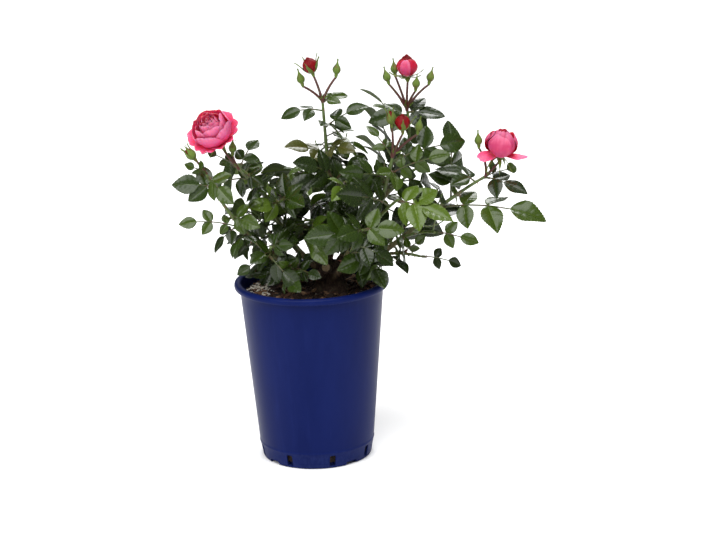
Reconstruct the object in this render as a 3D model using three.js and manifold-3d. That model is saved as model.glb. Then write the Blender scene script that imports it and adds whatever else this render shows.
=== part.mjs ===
// A patio rose in its nursery pot: a blue plastic pot filled with potting mix, the bud union with two
// pruned stubs, the canes, and on them the leafy sprays with their blooms and buds.
// Millimetres, +Z up. The origin is the centre of the pot's underside, and the front is -Y.
import * as THREE from 'three';
import { mergeVertices } from 'three/addons/utils/BufferGeometryUtils.js';
import Module from 'manifold-3d';

const wasm = await Module();
wasm.setup();

// ---------------------------------------------------------------- driving sizes

const GAP = 0.3; // between solids that touch

const POT = {
  height: 235.5,
  rimRadius: 100,
  lipHeight: 8.3,
  wallTopRadius: 92.8, // outside, under the lip
  heelRadius: 75.2, // outside, at the top of the foot
  heelHeight: 22,
  footRadius: 71.2,
  wall: 1.6,
  footRing: { inner: 57, height: 6 },
  floor: 2,
  drains: { count: 8, first: -75, width: 8, bottom: 3, top: 18 },
  notches: { count: 4, first: -52.5, width: 17, height: 5, depth: 14 },
};
const SOIL = { level: 221, edgeDrop: 3, flatRadius: 52 };
const CLEAR = { above: 4, rim: 86 }; // leaves keep this high over mix and rim, or this near the axis

// The knob the canes come from leans by these shares of its height, and has pruned stubs.
const UNION = {
  x: 25,
  y: 2,
  height: 39,
  lean: { x: 0.02, y: -0.08 },
  stubs: [
    { from: [20, -4, 246], to: [19, -26, 257], radius: 5.6 },
    { from: [16, -4, 240], to: [6, -26, 248], radius: 5.8 },
    { from: [34, 6, 246], to: [50, 22, 262], radius: 4.6 },
  ],
  stubTaper: 1.6,
};

// Each cane leaves the bud union at the angle rise and bends to its tip.
const CANES = [
  { name: 'left_cane', foot: [12, 0, 245], tip: [-55, -8, 350], rise: 42, radius: [4.4, 2.8] },
  { name: 'low_left_cane', foot: [12, -9, 236], tip: [-76, -42, 306], rise: 26, radius: [3.8, 2.6] },
  { name: 'middle_cane', foot: [22, 4, 246], tip: [28, 10, 344], rise: 74, radius: [4.6, 2.9] },
  { name: 'right_cane', foot: [34, -5, 244], tip: [86, -20, 324], rise: 40, radius: [5.6, 3.2] },
  { name: 'far_right_cane', foot: [36, 4, 236], tip: [148, 2, 309], rise: 24, radius: [4.8, 2.9] },
  { name: 'back_right_cane', foot: [30, 13, 244], tip: [112, 50, 346], rise: 52, radius: [4.8, 2.9] },
  { name: 'back_left_cane', foot: [16, 13, 240], tip: [-24, 66, 318], rise: 46, radius: [4.2, 2.7] },
  { name: 'front_cane', foot: [26, -11, 236], tip: [50, -66, 296], rise: 34, radius: [4.0, 2.7] },
];

// Each spray grows on from the tip of its cane, or from its side at the share `at` of its length.
// Its leaves go round the stem from the angle turn. Those under aims reach from a share of the stem to
// a point instead, with an end leaflet of a size: [share, x, y, z, size]. Its heads stand at foot and
// face a way.
const SPRAYS = [
  {
    name: 'left_bloom_spray', on: 'left_cane', tip: [-88, -18, 389], leaves: 1, turn: 200, seed: 11,
    aims: [
      [0.96, -63, 8, 425, 25], [0.8, -59, 16, 395, 22], [0.75, -60, -46, 369, 22],
      [1, -133, -4, 411, 18], [0.4, -58, -50, 367, 26],
    ],
    heads: [
      { kind: 'full_bloom', foot: [-110, -10, 421], facing: [-0.3, -0.55, 0.78] },
      { kind: 'green_bud', foot: [-94, -13, 404], facing: [0.05, 0.1, 1] },
    ],
  },
  {
    name: 'left_bud_spray', on: 'low_left_cane', tip: [-128, -45, 392], leaves: 0, turn: 150, seed: 12,
    aims: [
      [0.8, -168, -60, 384, 36], [0.95, -101, -92, 361, 30], [0.25, -164, -75, 330, 24],
      [0.15, -100, -82, 298, 30], [0.3, -124, -58, 290, 26], [0.42, -66, -78, 326, 28],
      [0.97, -149, -74, 406, 15],
    ],
    heads: [{ kind: 'small_red_bud', foot: [-138, -45, 406], facing: [-0.62, 0, 0.78] }],
  },
  {
    name: 'middle_bud_spray', on: 'middle_cane', tip: [22, 8, 468], leaves: 1, turn: 20, seed: 13,
    aims: [
      [0.9, -31, -6, 453, 27], [0.97, 54, 20, 478, 24], [0.74, 78, 10, 460, 30],
      [0.78, 50, -22, 430, 32], [0.48, -25, -18, 418, 34], [0.36, -23, -32, 389, 28],
      [0.55, 56, -28, 411, 26], [0.66, 71, 24, 425, 22],
    ],
    heads: [
      { kind: 'red_bud', foot: [12, 1, 500], facing: [-0.3, -0.1, 0.95] },
      { kind: 'green_bud', foot: [-2, 8, 486], facing: [-0.25, 0, 0.97] },
      { kind: 'green_bud', foot: [40, 14, 495], facing: [0.15, 0, 1] },
    ],
  },
  {
    name: 'red_bud_spray', on: 'right_cane', tip: [108, -25, 400], leaves: 1, turn: 90, seed: 44,
    aims: [
      [0.9, 203, -10, 407, 37], [0.7, 179, -40, 399, 28], [0.65, 46, -66, 385, 32],
      [0.8, 114, -66, 364, 30], [0.97, 78, -6, 436, 22],
    ],
    heads: [
      { kind: 'small_red_bud', foot: [108, -28, 437], facing: [-0.1, 0, 1] },
      { kind: 'red_bud', foot: [121, -32, 429], facing: [0, -0.1, 1] },
      { kind: 'green_bud', foot: [140, -20, 425], facing: [0.2, 0, 0.98] },
    ],
  },
  {
    name: 'pink_bud_spray', on: 'back_right_cane', tip: [130, 40, 447], leaves: 2, turn: 40, seed: 15,
    aims: [[0.92, 83, 24, 436, 34], [0.95, 177, 30, 439, 36]],
    heads: [
      { kind: 'opening_bud', foot: [132, 38, 482], facing: [-0.02, -0.05, 1] },
      { kind: 'green_bud', foot: [108, 38, 479], facing: [-0.25, 0, 0.97] },
      { kind: 'green_bud', foot: [117, 52, 486], facing: [-0.1, 0.1, 1] },
      { kind: 'green_bud', foot: [141, 24, 472], facing: [0.1, -0.2, 1] },
      { kind: 'green_bud', foot: [159, 42, 476], facing: [0.25, 0, 0.97] },
    ],
  },
  {
    name: 'right_bloom_spray', on: 'far_right_cane', tip: [228, -5, 365], leaves: 1, turn: 60,
    seed: 16,
    aims: [
      [0.85, 166, 6, 381, 36], [0.96, 275, -30, 345, 34], [0.9, 273, 30, 362, 22],
      [0.33, 296, -42, 309, 48], [0.5, 204, 44, 323, 26],
    ],
    heads: [
      { kind: 'half_open_bloom', foot: [244, -6, 383], facing: [0.12, -0.15, 0.98] },
      { kind: 'green_bud', foot: [219, 0, 400], facing: [-0.05, 0, 1] },
    ],
  },
  {
    name: 'right_low_spray', on: 'far_right_cane', at: 0.72, tip: [158, -42, 302], leaves: 0,
    turn: 10, seed: 17,
    aims: [[0.9, 210, -58, 287, 25], [0.5, 145, -62, 321, 20]],
  },
  {
    name: 'right_thin_spray', on: 'far_right_cane', at: 0.42, tip: [140, -22, 266], leaves: 1,
    turn: 10, seed: 18,
    aims: [[1, 192, -20, 248, 20], [0.2, 124, -40, 251, 26], [0.6, 148, -22, 291, 18]],
  },
  {
    name: 'front_spray', on: 'front_cane', tip: [66, -92, 322], leaves: 0, turn: 0, seed: 19,
    aims: [[0.95, 41, -128, 325, 34], [0.95, 113, -112, 325, 34], [0.6, -3, -108, 317, 38]],
  },
  {
    name: 'front_right_spray', on: 'right_cane', at: 0.4, tip: [74, -46, 268], leaves: 0, turn: 0,
    seed: 20,
    aims: [[0.9, 90, -88, 247, 32], [0.6, 42, -94, 273, 28]],
  },
  {
    name: 'front_low_spray', on: 'low_left_cane', at: 0.32, tip: [-18, -52, 262], leaves: 0,
    turn: 0, seed: 21,
    aims: [[0.8, -28, -76, 242, 20], [1, 6, -92, 261, 20], [1, -37, -86, 278, 18], [0.5, 3, -58, 280, 20]],
  },
  {
    name: 'front_left_spray', on: 'low_left_cane', at: 0.6, tip: [-50, -62, 296], leaves: 0,
    turn: 0, seed: 22,
    aims: [
      [0.9, -26, -88, 304, 22], [0.75, -24, -50, 313, 20], [0.5, -72, -78, 282, 27],
      [0.3, -90, -64, 259, 20],
    ],
  },
  {
    name: 'left_low_spray', on: 'left_cane', at: 0.4, tip: [-58, 14, 294], leaves: 2, turn: 30,
    seed: 23,
    aims: [[0.8, -90, -30, 275, 20]],
  },
  {
    name: 'left_middle_spray', on: 'left_cane', at: 0.75, tip: [-32, -42, 352], leaves: 1, turn: 0,
    seed: 24,
    aims: [[0.9, 7, -40, 382, 38], [0.95, -10, -90, 356, 34], [0.7, -69, -60, 348, 36]],
  },
  {
    name: 'centre_left_spray', on: 'middle_cane', at: 0.45, tip: [-6, -34, 322], leaves: 3,
    turn: 60, seed: 25,
  },
  {
    name: 'centre_front_spray', on: 'middle_cane', at: 0.75, tip: [48, -40, 372], leaves: 2,
    turn: 0, seed: 36,
    aims: [[0.95, 35, -78, 360, 26], [0.8, 72, -74, 349, 28]],
  },
  {
    name: 'right_middle_spray', on: 'right_cane', at: 0.8, tip: [112, -56, 350], leaves: 2,
    turn: 0, seed: 27,
    aims: [[0.95, 176, -82, 325, 44]],
  },
  {
    name: 'back_middle_spray', on: 'middle_cane', at: 0.85, tip: [40, 68, 388], leaves: 2, turn: 0,
    seed: 59,
  },
  { name: 'back_left_spray', on: 'back_left_cane', tip: [-60, 88, 336], leaves: 3, turn: 0, seed: 35 },
  {
    name: 'far_left_spray', on: 'back_left_cane', at: 0.6, tip: [-82, 54, 306], leaves: 2, turn: 0,
    seed: 30,
  },
  {
    name: 'back_low_spray', on: 'back_left_cane', at: 0.35, tip: [14, 84, 280], leaves: 2, turn: 0,
    seed: 31,
  },
  { name: 'back_spray', on: 'back_right_cane', at: 0.45, tip: [66, 96, 326], leaves: 3, turn: 0, seed: 32 },
  {
    name: 'back_right_spray', on: 'back_right_cane', at: 0.8, tip: [160, 74, 372], leaves: 2,
    turn: 0, seed: 43,
  },
  {
    name: 'far_right_low_spray', on: 'far_right_cane', at: 0.34, tip: [112, 52, 280], leaves: 2,
    turn: 0, seed: 34,
  },
];

// A head is a bud or a bloom, with its own axis up from its foot. The body is turned from [radius,
// height] and waves in and out by its lobes, as petals do. Sepals and guard petals stand on it in
// rings, out from the axis and tilted from it. Room is what it keeps free, as [height, radius].
const SEPALS = { count: 5, out: 1.5, height: 5, length: 19, breadth: 0.26 };
const HEADS = {
  green_bud: {
    body: [[0, -1], [1.4, -1], [2, 4], [4.8, 9.5], [2.6, 15], [0, 23]],
    sides: 5,
    rings: [],
    room: [[6, 4], [14, 4]],
  },
  small_red_bud: {
    body: [[0, -1], [1.5, -1], [2.8, 4], [6.4, 11], [5.2, 16], [0, 21]],
    sides: 6,
    rings: [{ ...SEPALS, count: 3, tilt: 24, length: 21 }],
    room: [[6, 6], [14, 7], [22, 5]],
  },
  red_bud: {
    body: [[0, -1], [1.5, -1], [3.2, 4.5], [8.4, 12], [7.6, 17], [0, 23.5]],
    sides: 7,
    rings: [{ ...SEPALS, tilt: 38, length: 24 }],
    room: [[6, 6], [16, 10], [24, 8]],
  },
  opening_bud: {
    body: [[0, -1], [1.6, -1], [4.2, 5], [11, 12], [12.3, 18], [9.4, 27], [0, 32.5]],
    sides: 8,
    rings: [{ ...SEPALS, tilt: 68, length: 21 }],
    room: [[8, 10], [20, 14], [30, 10]],
  },
  half_open_bloom: {
    body: [
      [0, -1], [1.7, -1], [4.3, 5], [14, 10], [21, 19], [21, 29], [16, 35], [8, 33], [6, 38], [0, 38],
    ],
    sides: 10,
    lobes: { count: 5, depth: 0.08 },
    rings: [
      { ...SEPALS, tilt: 128, length: 17 },
      { count: 3, out: 6, height: 9, tilt: 80, length: 31, breadth: 0.8, cup: 0.1, turn: 0.05 },
    ],
    room: [[8, 12], [22, 24], [34, 18]],
  },
  full_bloom: {
    body: [
      [0, -1], [1.7, -1], [4.4, 6], [20, 13], [34, 24], [26, 25], [28, 36], [18, 34], [16, 41], [8, 37],
      [0, 39],
    ],
    sides: 15,
    lobes: { count: 5, depth: 0.07 },
    rings: [],
    room: [[8, 14], [22, 31], [36, 24]],
  },
};

// A leaf that goes round the stem by the rule stays within this ellipse, seen from above, and below the top.
const CROWN = { x: 46, y: 4, halfWidth: 205, halfDepth: 132, top: 478 };

const LEAF = {
  length: 43, // of the end leaflet
  breadth: 0.7, // of its length
  thickness: 1.1,
  facing: 0.8, // how far its upper face is turned out from the bush
  stalk: { width: 0.9, depth: 0.8 }, // half sizes
  spacing: { 1: [0.5, 0.5], 2: [0.5, 0.5, 0.46] }, // along the leaf stalk, in end leaflet lengths
  share: { 1: [0.84], 2: [0.68, 0.87] }, // of the end leaflet's length, for each pair
  opening: { 1: [60], 2: [74, 60] },
  turnStep: 137.5,
  aimed: { slack: 0.97, sag: 0.35, lift: 0.13, longReach: 68, shortest: 0.36, front: 0.5 },
};

const PETAL_THICKNESS = 1.4;
const STALK = { straight: 0.65, radius: [1.6, 1.3] }; // of a head

// ---------------------------------------------------------------- vectors and solids

const UP = new THREE.Vector3(0, 0, 1);
const vec = (x, y, z) => new THREE.Vector3(x, y, z);
const degrees = (angle) => (angle * Math.PI) / 180;

// A repeatable stream of numbers from 0 to 1.
function randomStream(seed) {
  let state = seed * 7919 + 1;
  return () => {
    state = (state * 16807) % 2147483647;
    return state / 2147483647;
  };
}

function manifoldOf(vertProperties, index) {
  return new wasm.Manifold(new wasm.Mesh({ numProp: 3, vertProperties, triVerts: new Uint32Array(index) }));
}

// A closed geometry as a solid, turned right side out.
function solidOf(geometry) {
  geometry.deleteAttribute('normal');
  geometry.deleteAttribute('uv');
  const merged = mergeVertices(geometry, 1e-4);
  const solid = manifoldOf(merged.attributes.position.array, merged.index.array);
  if (solid.volume() > 0) return solid;
  const turned = merged.index.array.slice();
  for (let i = 0; i < turned.length; i += 3) {
    [turned[i + 1], turned[i + 2]] = [turned[i + 2], turned[i + 1]];
  }
  return manifoldOf(merged.attributes.position.array, turned);
}

function facesToSolid(points, faces) {
  const geometry = new THREE.BufferGeometry();
  geometry.setAttribute(
    'position',
    new THREE.Float32BufferAttribute(points.flatMap((p) => [p.x, p.y, p.z]), 3),
  );
  geometry.setIndex(faces.flat());
  return solidOf(geometry);
}

const join = (solids) => (solids.length === 1 ? solids[0] : wasm.Manifold.union(solids));

function meshOf(name, solid, material) {
  const { numProp, vertProperties, triVerts, numVert } = solid.getMesh();
  const position = new Float32Array(numVert * 3);
  for (let i = 0; i < numVert; i++) {
    position.set(vertProperties.subarray(i * numProp, i * numProp + 3), i * 3);
  }
  const geometry = new THREE.BufferGeometry();
  geometry.setAttribute('position', new THREE.BufferAttribute(position, 3));
  geometry.setIndex(new THREE.BufferAttribute(triVerts, 1));
  const mesh = new THREE.Mesh(geometry, material);
  mesh.name = name;
  return mesh;
}

function turnedProfile(profile, segments) {
  return new THREE.LatheGeometry(
    profile.map(([radius, height]) => new THREE.Vector2(radius, height)),
    segments,
  ).rotateX(Math.PI / 2);
}

// ---------------------------------------------------------------- stems

// A stem leaves its foot along a direction and bends to its tip.
function stemLine(foot, leaving, tip, steps) {
  const reach = foot.distanceTo(tip);
  const bend = foot.clone().addScaledVector(leaving, reach * 0.5);
  const curve = new THREE.QuadraticBezierCurve3(foot, bend, tip);
  const points = [];
  for (let i = 0; i <= steps; i++) points.push(curve.getPoint(i / steps));
  return points;
}

function alongLine(points, share) {
  const place = share * (points.length - 1);
  const i = Math.min(Math.floor(place), points.length - 2);
  const point = points[i].clone().lerp(points[i + 1], place - i);
  const tangent = points[i + 1].clone().sub(points[i]).normalize();
  return { point, tangent };
}

// Two directions square to the tangent.
function squareTo(tangent) {
  const side = Math.abs(tangent.z) > 0.95 ? vec(1, 0, 0) : UP.clone();
  const a = side.cross(tangent).normalize();
  const b = tangent.clone().cross(a);
  return [a, b];
}

// A tapering limb with flat ends through the points.
function limb(points, radii, sides) {
  const rings = [];
  let [a] = squareTo(points[1].clone().sub(points[0]).normalize());
  points.forEach((point, i) => {
    const before = points[Math.max(i - 1, 0)];
    const after = points[Math.min(i + 1, points.length - 1)];
    const tangent = after.clone().sub(before).normalize();
    a = a.clone().addScaledVector(tangent, -a.dot(tangent)).normalize();
    const b = tangent.clone().cross(a);
    const share = i / (points.length - 1);
    const radius = radii[0] + (radii[1] - radii[0]) * share;
    const ring = [];
    for (let k = 0; k < sides; k++) {
      const angle = (2 * Math.PI * k) / sides;
      ring.push(
        point
          .clone()
          .addScaledVector(a, radius * Math.cos(angle))
          .addScaledVector(b, radius * Math.sin(angle)),
      );
    }
    rings.push(ring);
  });
  const all = [...rings.flat(), points[0], points[points.length - 1]];
  const foot = all.length - 2;
  const faces = [];
  for (let k = 0; k < sides; k++) {
    const next = (k + 1) % sides;
    for (let i = 0; i < rings.length - 1; i++) {
      const low = i * sides;
      const high = low + sides;
      faces.push([low + k, low + next, high + next], [low + k, high + next, high + k]);
    }
    faces.push([foot, next, k]);
    faces.push([foot + 1, (rings.length - 1) * sides + k, (rings.length - 1) * sides + next]);
  }
  return facesToSolid(all, faces);
}

// ---------------------------------------------------------------- pot and potting mix

function potSolid() {
  const { height, rimRadius, lipHeight, wallTopRadius, heelRadius, heelHeight, footRadius, wall } = POT;
  const under = height - lipHeight;
  const inner = wallTopRadius - wall;
  const shell = solidOf(
    turnedProfile(
      [
        [0, 0],
        [footRadius - 2.5, 0],
        [footRadius, 2.5],
        [heelRadius, heelHeight - 2],
        [heelRadius, heelHeight],
        [heelRadius - 0.5, heelHeight + 2],
        [wallTopRadius, under],
        [rimRadius - 1.6, under],
        [rimRadius, under + 2.5],
        [rimRadius, height - 2],
        [rimRadius - 2, height],
        [inner + 1, height],
        [inner, under],
        [heelRadius - wall - 0.5, heelHeight + 2],
        [footRadius - wall + 0.6, POT.footRing.height],
        [POT.footRing.inner, POT.footRing.height],
        [POT.footRing.inner, POT.floor],
        [0, POT.floor],
      ],
      42,
    ),
  );
  const cuts = [];
  const { drains, notches } = POT;
  for (let i = 0; i < drains.count; i++) {
    const slot = new THREE.BoxGeometry(16, drains.width, drains.top - drains.bottom);
    slot.translate(footRadius + 2, 0, (drains.top + drains.bottom) / 2);
    slot.rotateZ(degrees(drains.first + (360 / drains.count) * i));
    cuts.push(solidOf(slot));
  }
  for (let i = 0; i < notches.count; i++) {
    const notch = new THREE.BoxGeometry(notches.depth, notches.width, notches.height * 2);
    notch.translate(footRadius - 2.5, 0, 0);
    notch.rotateZ(degrees(notches.first + (360 / notches.count) * i));
    cuts.push(solidOf(notch));
  }
  return shell.subtract(join(cuts));
}

// The mix fills the pot to a little under the rim, flat round the bud union and sunk at the wall.
function mixSolid() {
  const { wall, heelRadius, heelHeight, wallTopRadius, footRadius, footRing, floor, height, lipHeight } = POT;
  const edge = SOIL.level - SOIL.edgeDrop;
  const heel = heelRadius - wall - 0.5;
  const slope = (wallTopRadius - wall - heel) / (height - lipHeight - heelHeight - 2);
  const edgeRadius = heel + slope * (edge - heelHeight - 2);
  return solidOf(
    turnedProfile(
      [
        [0, floor + GAP],
        [footRing.inner - GAP, floor + GAP],
        [footRing.inner - GAP, footRing.height + GAP],
        [footRadius - wall, footRing.height + GAP],
        [heel - GAP, heelHeight + 2],
        [edgeRadius - GAP, edge],
        [SOIL.flatRadius, SOIL.level],
        [0, SOIL.level],
      ],
      30,
    ),
  );
}

// ---------------------------------------------------------------- bud union

// The knob and its stubs, grown outward by extra all round but at the soil.
function unionSolid(extra) {
  const profile = [
    [0, 0],
    [25, 0],
    [21, 4],
    [17.5, 12],
    [16.5, 24],
    [14, 32],
    [8, 37],
    [0, UNION.height],
  ].map(([radius, height]) => [radius && radius + extra, height && height + extra]);
  profile[1][1] = 0;
  const knob = turnedProfile(profile, 14);
  const lean = new THREE.Matrix4().makeShear(0, 0, UNION.lean.x, 0, UNION.lean.y, 0);
  lean.setPosition(UNION.x, UNION.y, SOIL.level + GAP);
  knob.applyMatrix4(lean);
  const stubs = UNION.stubs.map(({ from, to, radius }) => {
    const line = [vec(...from), vec(...from).lerp(vec(...to), 0.5), vec(...to)];
    line[2].addScaledVector(line[2].clone().sub(line[0]).normalize(), extra);
    return limb(line, [radius + UNION.stubTaper + extra, radius + extra], 10);
  });
  return join([solidOf(knob), ...stubs]);
}

// ---------------------------------------------------------------- leaves

// Everything grown so far, as points with the room each keeps round it.
const grown = [];
const LEAF_ROOM = { turned: 2.8, aimed: 2 };

function isFree(marks) {
  for (const [p, room] of marks) {
    const out = Math.hypot(p.x, p.y);
    if (p.z < POT.height + CLEAR.above && (out > CLEAR.rim || p.z < SOIL.level + CLEAR.above)) return false;
    for (const [q, other] of grown) {
      const near = room + other;
      const dx = p.x - q.x;
      if (dx > near || dx < -near) continue;
      const dy = p.y - q.y;
      const dz = p.z - q.z;
      if (dx * dx + dy * dy + dz * dz < near * near) return false;
    }
  }
  return true;
}

// One compound leaf: its stalk sags from the first heading, with pairs of leaflets and one at the end.
function compoundLeaf(node, heading, size, pairs, sag, random, stretch = 1, front = 0) {
  const spacing = LEAF.spacing[pairs].map((share) => share * stretch);
  const outward = vec(node.x - UNION.x, node.y - UNION.y, 0).normalize();
  const face = vec(random() - 0.5, random() - 1 - front, 0.4 + random() * 0.4);
  face.addScaledVector(outward, LEAF.facing);
  const stations = [];
  let at = node.clone();
  spacing.forEach((share, i) => {
    const along = heading.clone();
    along.z -= (sag * (i + 0.5)) / spacing.length;
    along.normalize();
    const normal = face.clone().addScaledVector(along, -face.dot(along)).normalize();
    if (i === 0) stations.push({ at, along, normal });
    at = at.clone().addScaledVector(along, share * size);
    stations.push({ at, along, normal });
  });
  const leaflet = (station, sideways, length) => {
    const { along, normal } = station;
    const opening = degrees(sideways * (0.94 + 0.12 * random()));
    const droop = degrees(5 + 22 * random());
    const roll = degrees((random() - 0.5) * 30);
    const side = normal.clone().cross(along);
    const flat = along.clone().multiplyScalar(Math.cos(opening)).addScaledVector(side, Math.sin(opening));
    const forward = flat.multiplyScalar(Math.cos(droop)).addScaledVector(normal, -Math.sin(droop));
    const level = normal.clone().addScaledVector(forward, -normal.dot(forward)).normalize();
    const rolled = level.clone().cross(forward).multiplyScalar(Math.sin(roll));
    const up = level.multiplyScalar(Math.cos(roll)).add(rolled);
    return { root: station.at, forward, up, length };
  };
  const leaflets = [];
  LEAF.share[pairs].forEach((share, i) => {
    for (const side of [1, -1]) {
      leaflets.push(leaflet(stations[i + 1], side * LEAF.opening[pairs][i], share * size));
    }
  });
  leaflets.push(leaflet(stations[pairs + 1], 0, size));
  return { stations, leaflets };
}

// Points that stand for a leaf when room is tested: along the stalk, and over each leaflet.
function leafMarks({ stations, leaflets }, room) {
  const marks = stations.slice(1).map(({ at }) => [at, 1.5]);
  for (const { root, forward, up, length } of leaflets) {
    const across = up.clone().cross(forward);
    for (const [ahead, sideways] of [
      [0.4, 0],
      [0.66, 0],
      [0.95, 0],
      [0.33, 0.28],
      [0.33, -0.28],
      [0.62, 0.25],
      [0.62, -0.25],
    ]) {
      const p = root.clone().addScaledVector(forward, ahead * length);
      marks.push([p.addScaledVector(across, sideways * length), room]);
    }
  }
  return marks;
}

// A compound leaf as one closed skin. Its upper and lower faces share the outline and part at the
// middle of each leaflet and along the stalk.
function leafSolid({ stations, leaflets }) {
  const { width, depth } = LEAF.stalk;
  const points = [];
  const faces = [];
  const add = (p) => points.push(p) - 1;
  const pair = (p, normal, half) => [
    add(p.clone().addScaledVector(normal, half)),
    add(p.clone().addScaledVector(normal, -half)),
  ];
  const skin = (corners, turned) => {
    for (const level of [0, 1]) {
      const at = corners.map((corner) => (Array.isArray(corner) ? corner[level] : corner));
      for (let i = 1; i < at.length - 1; i++) {
        faces.push(Boolean(level) === turned ? [at[0], at[i], at[i + 1]] : [at[0], at[i + 1], at[i]]);
      }
    }
  };
  const side = ({ along, normal }) => normal.clone().cross(along);
  const edge = (station, sideways, ahead) => {
    const beside = station.at.clone().addScaledVector(side(station), sideways * width);
    return add(beside.addScaledVector(station.along, ahead));
  };
  const blade = ({ root, forward, up, length }) => {
    const across = up.clone().cross(forward);
    const half = (length * LEAF.breadth) / 2;
    const at = (ahead, sideways, lift) =>
      root
        .clone()
        .addScaledVector(forward, ahead * length)
        .addScaledVector(across, sideways * half)
        .addScaledVector(up, lift * length);
    const outline = [
      at(0.28, 0.9, 0.08),
      at(0.66, 0.8, 0.05),
      at(1, 0, -0.06),
      at(0.66, -0.8, 0.05),
      at(0.28, -0.9, 0.08),
    ];
    return { outline: outline.map(add), middle: pair(at(0.45, 0, 0), up, LEAF.thickness / 2) };
  };
  const middles = stations.map(({ at, normal }) => pair(at, normal, depth));
  const last = stations.length - 1;
  const ends = { 1: edge(stations[0], 1, 0), [-1]: edge(stations[0], -1, 0) };
  faces.push([ends[1], middles[0][0], ends[-1]], [ends[-1], middles[0][1], ends[1]]);
  for (const way of [1, -1]) {
    const turned = way === -1;
    let from = ends[way];
    for (let i = 1; i < last; i++) {
      const before = edge(stations[i], way, -1.4);
      const after = edge(stations[i], way, 1.4);
      const { outline, middle } = blade(leaflets[(i - 1) * 2 + (turned ? 1 : 0)]);
      const round = turned ? outline.reverse() : outline;
      skin([middles[i - 1], from, before], turned);
      skin([middles[i - 1], before, middles[i]], turned);
      skin([middle, middles[i], before, round[0]], turned);
      for (let k = 0; k < 4; k++) skin([middle, round[k], round[k + 1]], turned);
      skin([middle, round[4], after, middles[i]], turned);
      from = after;
    }
    ends[way] = from;
  }
  const { outline, middle } = blade(leaflets[leaflets.length - 1]);
  const left = edge(stations[last], 1, 0);
  const right = edge(stations[last], -1, 0);
  skin([middles[last - 1], ends[1], left], false);
  skin([middles[last - 1], left, middles[last]], false);
  skin([middles[last - 1], ends[-1], right], true);
  skin([middles[last - 1], right, middles[last]], true);
  const round = [left, ...outline, right];
  skin([middle, middles[last], left], false);
  skin([middle, right, middles[last]], false);
  for (let k = 0; k < 6; k++) skin([middle, round[k], round[k + 1]], false);
  return facesToSolid(points, faces);
}

// ---------------------------------------------------------------- blooms and buds

// A bud or a bloom, standing on its own axis.
function headSolid({ body, sides, lobes, rings }) {
  const shape = turnedProfile(body, sides);
  if (lobes) {
    const place = shape.attributes.position;
    for (let i = 0; i < place.count; i++) {
      const [x, y, z] = [place.getX(i), place.getY(i), place.getZ(i)];
      const wave = Math.cos(lobes.count * Math.atan2(y, x) + z * 0.35);
      const swell = 1 + lobes.depth * wave * Math.min(1, Math.max(0, z / 12));
      place.setXYZ(i, x * swell, y * swell, z);
    }
  }
  const parts = [solidOf(shape)];
  for (const { count, out, height, tilt, length, breadth, cup = 0, turn = 0 } of rings) {
    for (let i = 0; i < count; i++) {
      const angle = (2 * Math.PI * (i + turn)) / count;
      const outward = vec(Math.cos(angle), Math.sin(angle), 0);
      const lean = degrees(tilt);
      const forward = outward.clone().multiplyScalar(Math.sin(lean)).addScaledVector(UP, Math.cos(lean));
      const root = outward.clone().multiplyScalar(out).addScaledVector(UP, height);
      parts.push(petalSolid(root, forward, outward, length, breadth, cup));
    }
  }
  return join(parts);
}

// A sepal or petal: a blade from its root with its belly outward, pointed if it has no cup.
function petalSolid(root, forward, outward, length, breadth, cup) {
  const across = outward.clone().cross(forward).normalize();
  const face = forward.clone().cross(across).normalize();
  const half = (length * breadth) / 2;
  const sink = cup * length;
  const at = (ahead, sideways, lift) =>
    root
      .clone()
      .addScaledVector(forward, ahead * length)
      .addScaledVector(across, sideways * half)
      .addScaledVector(face, lift);
  const rounded = [
    at(0, 0.16, 0),
    at(0.5, 1, 0),
    at(0.9, 0.62, sink * 0.2),
    at(1, 0, sink * 0.4),
    at(0.9, -0.62, sink * 0.2),
    at(0.5, -1, 0),
    at(0, -0.16, 0),
  ];
  const pointed = [at(0, 0, 0), at(0.35, 1, 0), at(1, 0, 0), at(0.35, -1, 0)];
  const outline = cup ? rounded : pointed;
  const middle = outline.length;
  const points = [...outline, at(0.5, 0, sink + PETAL_THICKNESS / 2), at(0.5, 0, sink - PETAL_THICKNESS / 2)];
  const faces = [];
  for (let i = 0; i < middle; i++) {
    const next = (i + 1) % middle;
    faces.push([i, next, middle], [next, i, middle + 1]);
  }
  return facesToSolid(points, faces);
}

// Turn a head's solid from +Z to the way it faces, and stand it at its foot.
function placed(solid, foot, facing) {
  const turn = new THREE.Quaternion().setFromUnitVectors(UP, facing);
  const matrix = new THREE.Matrix4().compose(foot, turn, vec(1, 1, 1));
  return solid.transform(matrix.elements);
}

// ---------------------------------------------------------------- sprays

function lineMarks(points, radius) {
  const reach = points.reduce((sum, p, i) => (i ? sum + p.distanceTo(points[i - 1]) : 0), 0);
  const count = Math.max(2, Math.ceil(reach / 6));
  const marks = [];
  for (let i = 0; i <= count; i++) marks.push([alongLine(points, i / count).point, radius + 1]);
  return marks;
}

const canes = {};
for (const cane of CANES) {
  const foot = vec(...cane.foot);
  const tip = vec(...cane.tip);
  const away = Math.atan2(tip.y - foot.y, tip.x - foot.x);
  const rise = degrees(cane.rise);
  const leaving = vec(Math.cos(away) * Math.cos(rise), Math.sin(away) * Math.cos(rise), Math.sin(rise));
  cane.line = stemLine(foot, leaving, tip, 6);
  canes[cane.name] = cane;
  grown.push(...lineMarks(cane.line, cane.radius[0]));
}

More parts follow.
